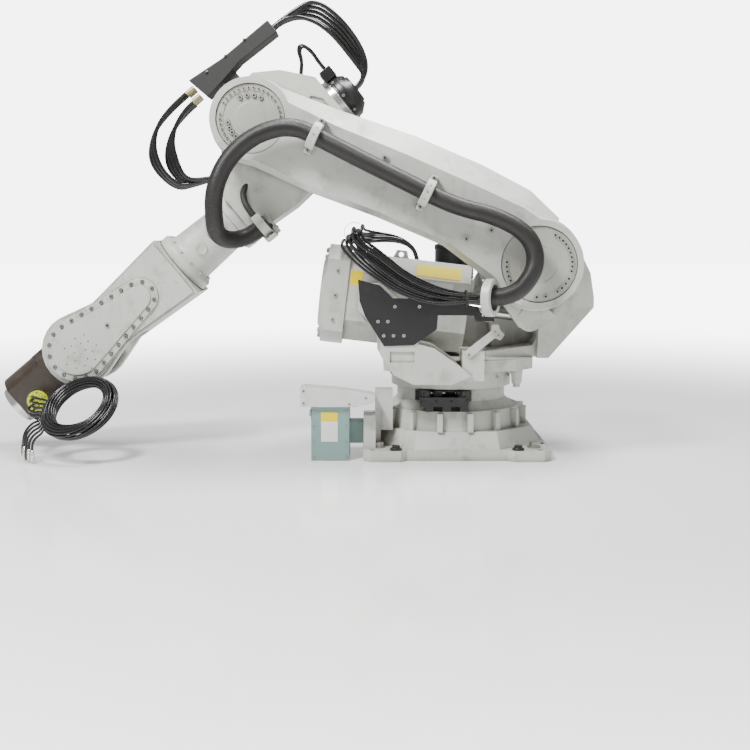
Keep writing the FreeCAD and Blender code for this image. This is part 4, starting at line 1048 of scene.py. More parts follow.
@dataclass
class Turntable:
    """Turning frame, drives, sheet plate, hose ring and the loom beside the balancer."""

    body: str = "turret"
    plate_spots: tuple[tuple[float, float], ...] = (
        (-0.243, 0.618), (-0.148, 0.618), (-0.308, 0.560), (-0.270, 0.560), (-0.286, 0.505), (-0.248, 0.505),
        (-0.208, 0.505))
    ring_middle: Vector = field(default_factory=lambda: Vector((0.124, HOSE_LAYER, 0.654)))
    ring_turn: float = 24.0
    ring_half: float = 0.018
    ring_foot_y: float = -0.3862
    cord_count: int = 10
    cord_radius: float = 0.0056
    lane_gap: float = 0.008
    tie_half: float = 0.004
    tie_thick: float = 0.002
    deck_ring_radius: float = 0.250
    deck_ring_z: float = 0.318
    turn_motor_spot: tuple[float, float] = (0.030, 0.292)
    turn_motor_radius: float = 0.085
    wall_y: float = 0.190
    wall_circle: float = 0.128
    seam_z: float = 0.2747
    seam_radius: float = 0.2285

    def build(self) -> None:
        """Dress every piece of the turntable."""
        SHOP.refined("turret_casting", self.body, WHITE, 4.0 * MM)
        SHOP.refined("trunnion_carrier", self.body, WHITE, 3.0 * MM)
        SHOP.refined("shoulder_frame", self.body, WHITE, 3.0 * MM)
        SHOP.refined("shoulder_gearbox", self.body, SHADED_COVER_WHITE, 2.0 * MM)
        SHOP.refined("shoulder_motor", self.body, BLACK, 2.0 * MM)
        SHOP.refined("turn_motor", self.body, BLACK, 2.0 * MM)
        SHOP.refined("stop_post", self.body, WHITE, 1.5 * MM)
        SHOP.refined("cable_plate", self.body, SATIN_BLACK, 0.8 * MM)
        SHOP.refined("strap_bracket", self.body, WHITE, 1.0 * MM)
        self.hose_ring()
        self.loom()
        self.plate_screws()
        self.frame_screws()
        self.far_side()

    def hose_ring(self) -> None:
        """Build the split clamp ring that holds the hose's end, a little turned towards the loom."""
        way = Vector((math.cos(math.radians(self.ring_turn)), -math.sin(math.radians(self.ring_turn)), 0.0))
        start = self.ring_middle - way * self.ring_half
        profile = [(0.0, 0.053), (0.0, 0.069), (0.003, 0.073), (0.033, 0.073), (0.036, 0.069), (0.036, 0.053),
                   (0.033, 0.050), (0.003, 0.050)]
        SHOP.drum("hose_ring", self.body, WHITE, start, way, profile, 56, ["cable_ring"])
        side = way.cross(UP).normalized()
        for k, sign in enumerate((1.0, -1.0)):
            centre = self.ring_middle + UP * (0.066 * sign)
            spots = [centre - side * 0.030 - way * self.ring_half, centre + side * 0.030 - way * self.ring_half]
            SHOP.screws(f"ring_screws_{k}", self.body, spots, -way, 4.5 * MM, ZINC)
        low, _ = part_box("cable_ring")
        foot = [Vector((low.x + x, self.ring_foot_y, low.z + z))
                for x, z in ((0.004, 0.002), (0.032, 0.002), (0.032, 0.070), (0.004, 0.070))]
        SHOP.plate("hose_ring_foot", self.body, WHITE, foot, Vector((0.0, 0.012, 0.0)), 1.0 * MM)

    def loom(self) -> None:
        """Lay ten thin cords in two layers from the ring past the sheet plate and over to the far side."""
        shape = bmesh.new()
        for i in range(self.cord_count):
            lane = -0.036 + self.lane_gap * i
            layer = (7 * i) % self.cord_count
            lift = 0.006 if i % 2 else -0.006
            sag = 0.010 * layer - 0.050
            near = HOSE_LAYER + lane
            far = 0.285 - lane
            cross = -0.400 + 0.5 * lane + 0.5 * sag
            over = 0.905 + 0.5 * sag + lift
            foot = -0.112 + 0.6 * lift
            route = [(0.113, near, 0.654 + lift), (0.020, near, 0.653 + lift + 0.2 * sag),
                     (-0.090, near, 0.664 + 0.7 * sag), (-0.210, near, 0.712 + sag),
                     (-0.310 + 0.4 * sag, near, 0.786 + sag), (cross - 0.005, near, 0.862 + 0.5 * sag),
                     (cross, near, over), (cross + 0.004, -0.200, over), (cross, far, over - 0.020),
                     (-0.190, far, 0.880 + lift), (foot, far, 0.780), (foot, far, 0.3924)]
            add_tube(shape, Tube(self.cord_radius + 0.0004 * (i % 3), 14), smooth_line(route))
        thing = SHOP.from_bmesh("loom_cords", shape, RUBBER, 50.0)
        SHOP.mount(thing, self.body, ["cable_loom"])
        self.tie("loom_tie_low", Vector((0.030, HOSE_LAYER, 0.652)), Vector((1.0, 0.0, 0.0)), 0.048, 0.030)
        self.tie("loom_tie_high", Vector((-0.400, -0.300, 0.905)), Vector((0.0, 1.0, 0.0)), 0.040, 0.036)

    def tie(self, name: str, middle: Vector, way: Vector, wide: float, high: float) -> None:
        """Wrap a flat tie round the bundle.

        Args:
            name: the piece's name.
            middle: the middle of the bundle there.
            way: the bundle's direction.
            wide: half the bundle's width.
            high: half the bundle's height.
        """
        shape = bmesh.new()
        side = UP.cross(way).normalized()
        up = way.cross(side).normalized()
        half, thick = self.tie_half, self.tie_thick
        loops = []
        for shift, grow in ((-half, 0.0), (-half, thick), (half, thick), (half, 0.0)):
            loop = []
            for turn in full_circle(28):
                loop.append(shape.verts.new(middle + way * shift + side * ((wide + grow) * math.cos(turn))
                                            + up * ((high + grow) * math.sin(turn))))
            loops.append(loop)
        bridge(shape, loops, loops[1:] + loops[:1])
        thing = SHOP.from_bmesh(name, shape, DARK_SEAL_AND_SHADE, 50.0)
        SHOP.mount(thing, self.body)

    def plate_screws(self) -> None:
        """Put the bright screws on the black sheet plate."""
        low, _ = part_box("cable_plate")
        spots = [Vector((x, low.y, z)) for x, z in self.plate_spots]
        SHOP.screws("plate_screws", self.body, spots, NEAR, 5.5 * MM, STEEL, washer=6.5 * MM)

    def frame_screws(self) -> None:
        """Set the screws of the outrigger, the strap and the ring below the deck."""
        low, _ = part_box("strap_bracket")
        spots = [Vector((0.146, low.y, 0.520)), Vector((0.160, low.y, 0.506)), Vector((0.046, low.y, 0.430))]
        SHOP.screws("strap_screws", self.body, spots, NEAR, 4.0 * MM, ZINC)
        reach = self.deck_ring_radius
        spots = [Vector((reach * math.cos(turn), reach * math.sin(turn), self.deck_ring_z))
                 for turn in bearings(0.0, 337.5, 16)]
        ways = [Vector((spot.x, spot.y, 0.0)) for spot in spots]
        SHOP.screws("deck_ring_screws", self.body, spots, ways, 7.0 * MM, WHITE)

    def far_side(self) -> None:
        """Trim the motors and the wall on the far side, and seal the turning seam."""
        _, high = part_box("shoulder_motor")
        motor_trim("shoulder_motor", self.body, Vector((SHOULDER.x, high.y, SHOULDER.z)), FAR, DRIVE_RADIUS, 0.060)
        _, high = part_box("turn_motor")
        top = Vector((*self.turn_motor_spot, high.z - 0.030))
        motor_trim("turn_motor", self.body, top, UP, self.turn_motor_radius, 0.080)
        spots = circle_spots(FLAT, SHOULDER.x, SHOULDER.z, self.wall_y, self.wall_circle, even(0.0, 330.0, 12))
        # The dark washers are painted shade: the shadowed gap round each screw head.
        SHOP.screws("wall_screws", self.body, spots, FAR, 7.0 * MM, SHADED_COVER_WHITE, washer=9.0 * MM, rim=DARK_SEAL_AND_SHADE)
        seam("turning_seal", self.body, UP * self.seam_z, UP, self.seam_radius)


@dataclass(frozen=True)
class Patch:
    """One blank plate on the balancer: its name, its finish and its limits along and above the housing."""

    name: str
    finish: Finish
    x: tuple[float, float]
    z: tuple[float, float]


@dataclass
class Balancer:
    """Long tilting housing, its end cap and its rod."""

    body: str = "balancer"
    rear: float = -0.199
    screw_circle: float = 0.180
    flat_half: float = 0.135
    cap_side_y: float = -0.1451
    plates: tuple[Patch, ...] = (
        Patch("housing_plate_yellow", BLANK_YELLOW, (0.165, 0.350), (0.118, 0.164)),
        Patch("housing_plate_white", BLANK_WHITE, (0.225, 0.320), (0.050, 0.102)),
        Patch("cap_plate_yellow", BLANK_YELLOW, (-0.100, -0.050), (0.050, 0.110)))

    def build(self) -> None:
        """Dress every piece of the balancer."""
        SHOP.refined("balancer_housing", self.body, WHITE, 6.0 * MM)
        SHOP.refined("balancer_cap", self.body, WHITE, 5.0 * MM)
        SHOP.refined("balance_rod", "balancer_rod", MACHINED, 1.5 * MM)
        self.cap_screws()
        self.patches()

    def cap_screws(self) -> None:
        """Ring the cap's rear face with screws."""
        spots = []
        for turn in bearings(11.25, 348.75, 16):
            y = self.screw_circle * math.cos(turn)
            if abs(y) < self.flat_half:
                spots.append(BALANCER.at(self.rear, y, self.screw_circle * math.sin(turn)))
        SHOP.screws("cap_screws", self.body, spots, -BALANCER.along, 11.0 * MM, SHADED_COVER_WHITE, height=12.0 * MM)
        edge = [BALANCER.at(self.rear + 0.046, self.cap_side_y, z) for z in (-0.100, 0.0, 0.100)]
        SHOP.screws("cap_side_screws", self.body, edge, NEAR, 7.0 * MM, SHADED_COVER_WHITE)

    def patches(self) -> None:
        """Stick blank plates where the real housing is marked."""
        for patch in self.plates:
            (x0, x1), (z0, z1) = patch.x, patch.z
            corners = []
            for x, z in ((x0, z0), (x1, z0), (x1, z1), (x0, z1)):
                corners.append(SHOP.touch("balancer_housing", BALANCER.at(x, -0.6, z), FAR))
            face = (corners[1] - corners[0]).cross(corners[3] - corners[0]).normalized()
            corners = [corner + face * 0.0002 for corner in corners]
            SHOP.plate(patch.name, self.body, patch.finish, corners, face * PLATE_THICK, 0.3 * MM)


@dataclass
class LowerArm:
    """Leaning arm with its covers and hose clamps."""

    body: str = "lower_arm"
    elbow_ring: float = 0.116
    shoulder_ring: float = 0.128
    clamp_spots: tuple[float, float] = (-0.995, -0.517)
    inner_ring: float = 0.088
    band_half: float = 0.017
    band_radius: float = 0.0535
    lug_y: float = -0.3505
    lug_height: float = 0.060
    lug_half: tuple[float, float] = (0.013, 0.014)
    boss_y: float = -0.356
    bosses: tuple[tuple[float, float], ...] = ((-0.721, 0.096), (-0.228, 0.033), (-0.300, -0.040))

    def build(self) -> None:
        """Dress every piece of the lower arm."""
        SHOP.refined("lower_arm_casting", self.body, WHITE, 5.0 * MM)
        SHOP.refined("tail_pin", self.body, MACHINED, 1.0 * MM)
        self.elbow_lid()
        self.shoulder_lid()
        self.clamps()
        self.boss_screws()

    def lean(self) -> float:
        """Return the arm's lean in the side view, in degrees."""
        return math.degrees(math.atan2(-LOWER.along.z, LOWER.along.x))

    def elbow_lid(self) -> None:
        """Turn the elbow cover and set its rings of screws."""
        low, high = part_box("elbow_cover")
        x = -(SHOULDER - ELBOW).length
        radius = (high.x - low.x) / 2.0
        start = LOWER.at(x, high.y, 0.0)
        profile = [(0.0, radius - 0.0005), (0.0075, radius - 0.0005), (0.009, radius - 0.002), (0.009, 0.106),
                   (0.0065, 0.103), (0.0065, 0.062), (0.0085, 0.059), (0.0085, 0.0005)]
        SHOP.drum("elbow_lid", self.body, SHADED_COVER_WHITE, start, NEAR, profile, 72, ["elbow_cover"])
        face = high.y - 0.009
        lean = self.lean()
        outer = [angle + lean for angle in even(35.0, 150.0, 13) + even(172.0, 238.0, 8) + even(-5.0, 22.0, 4)]
        spots = circle_spots(LOWER, x, 0.0, face + 0.0025, self.elbow_ring, outer)
        # The dark washers are painted shade: the shadowed gap round each screw head.
        SHOP.screws("elbow_outer_screws", self.body, spots, NEAR, 6.5 * MM, SHADED_COVER_WHITE, height=6.0 * MM,
                    washer=8.5 * MM, rim=DARK_SEAL_AND_SHADE)
        inner = [angle + lean for angle in even(62.0, 116.0, 4) + even(190.0, 230.0, 4)]
        spots = circle_spots(LOWER, x, 0.0, face + 0.0035, self.inner_ring, inner)
        # The dark washers are painted shade: the shadowed gap round each screw head.
        SHOP.screws("elbow_inner_screws", self.body, spots, NEAR, 9.0 * MM, SHADED_COVER_WHITE, height=7.0 * MM,
                    washer=11.0 * MM, rim=DARK_SEAL_AND_SHADE)

    def shoulder_lid(self) -> None:
        """Turn the shoulder cover and set its screws in their groups."""
        low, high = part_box("shoulder_cover")
        radius = (high.x - low.x) / 2.0
        start = LOWER.at(0.0, high.y, 0.0)
        profile = [(0.0, radius - 0.0005), (0.0075, radius - 0.0005), (0.009, radius - 0.002), (0.009, 0.072),
                   (0.007, 0.070), (0.007, 0.0005)]
        SHOP.drum("shoulder_lid", self.body, SHADED_COVER_WHITE, start, NEAR, profile, 72, ["shoulder_cover"])
        angles = even(-12.0, 62.0, 10) + even(-56.0, -26.0, 4) + even(-94.0, -78.0, 2) + even(176.0, 226.0, 7)
        lean = self.lean()
        angles = [angle + lean for angle in angles]
        spots = circle_spots(LOWER, 0.0, 0.0, high.y - 0.007, self.shoulder_ring, angles)
        # The dark washers are painted shade: the shadowed gap round each screw head.
        SHOP.screws("shoulder_lid_screws", self.body, spots, NEAR, 9.0 * MM, SHADED_COVER_WHITE, height=7.0 * MM,
                    washer=11.5 * MM, rim=DARK_SEAL_AND_SHADE)

    def clamps(self) -> None:
        """Build the two split clamps with their lugs and screws."""
        profile = [(0.0, 0.037), (0.0, 0.050), (0.003, 0.0535), (0.031, 0.0535), (0.034, 0.050), (0.034, 0.037),
                   (0.032, 0.0355), (0.002, 0.0355)]
        wide, high = self.lug_half
        for k, x in enumerate(self.clamp_spots):
            start = LOWER.at(x - self.band_half, HOSE_LAYER, HOSE_LIFT)
            stands = ["hose_clamps"] if k == 0 else []
            SHOP.drum(f"clamp_band_{k}", self.body, WHITE, start, LOWER.along, profile, 48, stands)
            for side, place in ((1.0, "upper"), (-1.0, "lower")):
                z = HOSE_LIFT + side * 0.058
                corners = [LOWER.at(x + dx, self.lug_y, z + dz)
                           for dx, dz in ((-wide, -high), (wide, -high), (wide, high), (-wide, high))]
                SHOP.plate(f"clamp_lug_{k}_{place}", self.body, WHITE, corners, NEAR * self.lug_height, 3.0 * MM)
            spots = [LOWER.at(x, self.lug_y - self.lug_height, HOSE_LIFT + side * 0.060) for side in (1.0, -1.0)]
            SHOP.screws(f"clamp_screws_{k}", self.body, spots, NEAR, 7.0 * MM, ZINC, washer=8.5 * MM)
            turns = bearings(-32.0, 32.0, 3)
            spots = [LOWER.at(x, HOSE_LAYER - self.band_radius * math.cos(turn),
                              HOSE_LIFT + self.band_radius * math.sin(turn)) for turn in turns]
            ways = [Vector((0.0, -math.cos(turn), 0.0)) + LOWER.up * math.sin(turn) for turn in turns]
            SHOP.screws(f"clamp_dots_{k}", self.body, spots, ways, 2.5 * MM, ZINC, height=1.5 * MM)

    def boss_screws(self) -> None:
        """Set the larger screws in the arm's bosses."""
        spots = [LOWER.at(x, self.boss_y, z) for x, z in self.bosses]
        SHOP.screws("arm_boss_screws", self.body, spots, NEAR, 8.0 * MM, ZINC, washer=12.0 * MM, rim=SHADED_COVER_WHITE)


@dataclass
class Elbow:
    """Housing beside the elbow with its motors, cable carrier and cords."""

    body: str = "upper_arm"
    motor_y: float = 0.040
    motor_z: float = -0.134
    band_x: float = 0.3004
    dome_x: float = 0.3308
    dome_radius: float = 0.098
    cord_radius: float = 0.0085
    thin_radius: float = 0.0075
    sleeve_radius: float = 0.013
    panel_y: float = -0.1415
    panel_spots: tuple[tuple[float, float], ...] = ((0.255, -0.120), (0.255, -0.220), (0.100, -0.270), (0.060, -0.150))
    far_y: float = 0.150
    far_circle: float = 0.124
    carrier_top: float = 0.2935

    def build(self) -> None:
        """Dress every piece that rides on the upper arm."""
        SHOP.refined("elbow_housing", self.body, WHITE, 5.0 * MM)
        SHOP.refined("elbow_motor", self.body, BLACK, 2.0 * MM)
        SHOP.refined("hose_bracket", self.body, WHITE, 1.5 * MM)
        SHOP.refined("cable_carrier", self.body, CARRIER, 6.0 * MM)
        SHOP.refined("carrier_sockets", self.body, BRASS, 1.0 * MM)
        self.roll_motor()
        self.cords()
        self.housing_screws()

    def roll_motor(self) -> None:
        """Turn the bright ring and the black dome of the roll motor."""
        start = UPPER.at(self.band_x, self.motor_y, self.motor_z)
        profile = [(0.0, 0.090), (0.0, 0.102), (0.002, 0.104), (0.010, 0.104), (0.012, 0.101), (0.019, 0.101),
                   (0.021, 0.104), (0.028, 0.104), (0.030, 0.102), (0.030, 0.090)]
        SHOP.drum("roll_motor_band", self.body, MACHINED, start, UPPER.along, profile, 64, ["roll_motor_ring"])
        start = UPPER.at(self.dome_x, self.motor_y, self.motor_z)
        profile = [(0.0, 0.096), (0.003, 0.098), (0.009, 0.098), (0.011, 0.096), (0.014, 0.098), (0.032, 0.098),
                   (0.036, 0.097), (0.052, 0.084), (0.064, 0.075), (0.068, 0.072), (0.0685, 0.060), (0.075, 0.060),
                   (0.077, 0.058), (0.077, 0.001)]
        SHOP.drum("roll_motor_dome", self.body, BLACK, start, UPPER.along, profile, 64, ["roll_motor"])
        corners = [UPPER.at(x, y, -0.048)
                   for x, y in ((0.326, -0.020), (0.380, -0.020), (0.380, 0.088), (0.326, 0.088))]
        SHOP.plate("roll_motor_socket", self.body, BLACK, corners, UPPER.up * 0.050, 4.0 * MM)
        turns = bearings(0.0, 315.0, 8)
        spots = [UPPER.at(0.345, self.motor_y + self.dome_radius * math.cos(turn),
                          self.motor_z + self.dome_radius * math.sin(turn)) for turn in turns]
        ways = [UPPER.turn(0.0, math.cos(turn), math.sin(turn)) for turn in turns]
        SHOP.screws("roll_motor_screws", self.body, spots, ways, 5.0 * MM, ZINC)

    def lead(self, shape: bmesh.types.BMesh, radius: float, sides: int, route: Route) -> None:
        """Add one cord to a shape.

        Args:
            shape: the shape that gets the cord.
            radius: the cord's radius.
            sides: how many sides it has.
            route: its line's control points along, across and above the housing.
        """
        add_tube(shape, Tube(radius, sides), smooth_line([tuple(UPPER.at(*spot)) for spot in route]))

    def cords(self) -> None:
        """Lead the cords out of both ends of the carrier, and lay the braided sleeve below."""
        shape = bmesh.new()
        for i in range(6):
            dy = -0.040 + 0.016 * i
            out = 0.014 * ((5 * i) % 6) - 0.030
            self.lead(shape, self.cord_radius, 14, [
                (0.3034, dy, 0.261 + 0.004 * (i % 3 - 1)), (0.385 + 0.5 * out, dy, 0.261),
                (0.472 + out, dy, 0.205 + 0.7 * out), (0.500 + out, dy, 0.085), (0.494 + 0.8 * out, 0.040 + dy, -0.060),
                (0.466, 0.040 + dy, -0.134), (0.408, 0.040 + dy, -0.134)])
        for i in range(2):
            dy = 0.010 + 0.026 * i
            self.lead(shape, self.thin_radius, 14, [
                (0.2553, dy, 0.0403), (0.3033, dy, 0.0788), (0.325, dy, 0.128 + 0.012 * i),
                (0.352, dy, 0.134 + 0.012 * i), (0.364, dy, 0.090), (0.358, dy, 0.050), (0.358, dy, 0.002)])
        for i in range(7):
            dy = -0.045 + 0.015 * i
            up = 0.024 if i % 2 else -0.024
            out = 0.015 * ((4 * i) % 7) - 0.035
            self.lead(shape, self.cord_radius, 14, [
                (-0.1424, dy, 0.264 + up), (-0.240 - out, dy, 0.264 + up), (-0.345 - out, dy, 0.212 + up),
                (-0.396 - out, dy, 0.110 + out), (-0.392 - 0.8 * out, dy, 0.030), (-0.3502 - 0.3 * out, dy, -0.0053),
                (-0.2524, 0.8 * dy, -0.0548)])
        braided = bmesh.new()
        self.lead(braided, self.sleeve_radius, 18, [
            (-0.130, -0.120, -0.150), (-0.206, -0.138, -0.158), (-0.240, -0.190, -0.215), (-0.243, -0.200, -0.290),
            (-0.228, -0.186, -0.345), (-0.206, -0.150, -0.372)])
        SHOP.mount(SHOP.from_bmesh("braided_sleeve", braided, BRAID, 50.0), self.body)
        thing = SHOP.from_bmesh("carrier_leads", shape, RUBBER, 50.0)
        SHOP.mount(thing, self.body, ["carrier_cords"])

    def housing_screws(self) -> None:
        """Set the screws of the panel, the hose bracket, the far side and the carrier, and trim the elbow motor."""
        spots = [UPPER.at(x, self.panel_y, z) for x, z in self.panel_spots]
        SHOP.screws("panel_screws", self.body, spots, NEAR, 6.0 * MM, ZINC, washer=8.0 * MM)
        spots = [UPPER.at(-0.239, y, -0.384) for y in (-0.250, -0.160)]
        SHOP.screws("bracket_screws", self.body, spots, UPPER.up, 6.0 * MM, ZINC)
        _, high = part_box("elbow_motor")
        motor_trim("elbow_motor", self.body, Vector((ELBOW.x, high.y, ELBOW.z)), FAR, DRIVE_RADIUS, 0.050)
        spots = circle_spots(UPPER, 0.0, 0.0, self.far_y, self.far_circle, even(0.0, 330.0, 12))
        # The dark washers are painted shade: the shadowed gap round each screw head.
        SHOP.screws("elbow_far_screws", self.body, spots, FAR, 7.0 * MM, SHADED_COVER_WHITE, washer=9.0 * MM, rim=DARK_SEAL_AND_SHADE)
        spots = [UPPER.at(x, y, self.carrier_top) for x in (-0.020, 0.080, 0.180) for y in (-0.060, 0.060)]
        SHOP.screws("carrier_screws", self.body, spots, UPPER.up, 5.0 * MM, ZINC)


@dataclass
class Forearm:
    """Rolling tube and wrist fork with its side covers."""

    body: str = "forearm"
    fork_radius: float = 0.150
    fork_face: float = 0.152
    thick: float = 0.015
    dot_count: int = 18
    collar_x: float = -0.5765
    collar_circle: float = 0.114
    caps: tuple[tuple[float, float, float], ...] = ((-0.405, 0.020, 0.040), (-0.500, -0.012, 0.024))

    def build(self) -> None:
        """Dress every piece of the forearm."""
        SHOP.refined("forearm_tube", self.body, WRIST_WHITE, 3.0 * MM)
        SHOP.refined("wrist_housing", self.body, WRIST_WHITE, 5.0 * MM)
        self.side_covers()
        self.tube_caps()

    def outline(self, y: float, inset: float, far: float, far_radius: float) -> list[Vector]:
        """Return a tapered loop: a large arc round the wrist and a small one towards the elbow.

        Args:
            y: the layer across the robot.
            inset: how far inside the fork's edge the loop runs.
            far: how far from the wrist axis the small arc's middle is.
            far_radius: the small arc's radius.

        Returns:
            The loop's corners.
        """
        reach = self.fork_radius - inset
        half = math.degrees(math.acos((reach - far_radius) / far))
        spots = circle_spots(UPPER, WRIST_X, FOREARM_DROP, y, reach, even(half, 360.0 - half, 32))
        return spots + circle_spots(UPPER, WRIST_X + far, FOREARM_DROP, y, far_radius, even(-half, half, 20))

    def side_covers(self) -> None:
        """Lay the bolted cover, its raised pad and its screws on each side of the fork."""
        SHOP.refined("wrist_covers", self.body, WRIST_WHITE, 2.0 * MM)
        for sign, side in ((-1.0, "near"), (1.0, "far")):
            way = Vector((0.0, sign, 0.0))
            base = sign * (self.fork_face + self.thick - 0.0005)
            corners = self.outline(base, 0.022, 0.345, 0.072)
            SHOP.plate(f"cover_{side}", self.body, WRIST_WHITE, corners, way * 0.0085, 3.0 * MM)
            corners = self.outline(base + sign * 0.0075, 0.050, 0.338, 0.048)
            SHOP.plate(f"cover_pad_{side}", self.body, WRIST_WHITE, corners, way * 0.0060, 5.0 * MM)
            loop = self.outline(base + sign * 0.008, 0.036, 0.343, 0.059)
            spots = resampled(loop + loop[:1], 0.047)[:-1]
            # The dark washers are painted shade: the shadowed gap round each screw head.
            SHOP.screws(f"cover_screws_{side}", self.body, spots, way, 6.5 * MM, ZINC, washer=9.0 * MM, rim=DARK_SEAL_AND_SHADE)
            top = base + sign * 0.0135
            dots = []
            for k in range(self.dot_count):
                turn = math.radians(137.5 * k)
                reach = 0.018 * math.sqrt(k + 1.5)
                dots.append(UPPER.at(WRIST_X + 0.010 + reach * math.cos(turn), top,
                                     FOREARM_DROP - 0.020 + reach * math.sin(turn)))
            SHOP.screws(f"cover_dots_{side}", self.body, dots, way, 2.6 * MM, DARK_SEAL_AND_SHADE, height=0.8 * MM,
                        washer=2.6 * MM)
            spot = UPPER.at(WRIST_X + 0.165, top, FOREARM_DROP - 0.004)
            SHOP.screws(f"cover_filler_{side}", self.body, [spot], way, 9.0 * MM, ZINC, height=4.0 * MM,
                        washer=14.0 * MM, rim=WRIST_WHITE)

    def tube_caps(self) -> None:
        """Set the round caps and the collar's screws on the rolling tube."""
        for k, (x, z, radius) in enumerate(self.caps):
            start = UPPER.at(x, -0.090, FOREARM_DROP + z)
            profile = [(0.0, radius), (0.014, radius), (0.017, radius - 0.003), (0.017, radius * 0.7),
                       (0.015, radius * 0.66), (0.015, 0.001)]
            SHOP.drum(f"tube_cap_{k}", self.body, WRIST_WHITE, start, NEAR, profile, 40)
        reach = self.collar_circle
        spots = [UPPER.at(self.collar_x, reach * math.cos(turn), FOREARM_DROP + reach * math.sin(turn))
                 for turn in bearings(15.0, 345.0, 12)]
        SHOP.screws("collar_screws", self.body, spots, UPPER.along, 7.0 * MM, ZINC, height=9.0 * MM)
        seam("collar_seal", self.body, UPPER.at(-0.6192, 0.0, FOREARM_DROP), UPPER.along, 0.1336)
        seam("roll_seal", self.body, UPPER.at(-0.3320, 0.0, FOREARM_DROP), UPPER.along, 0.1290)


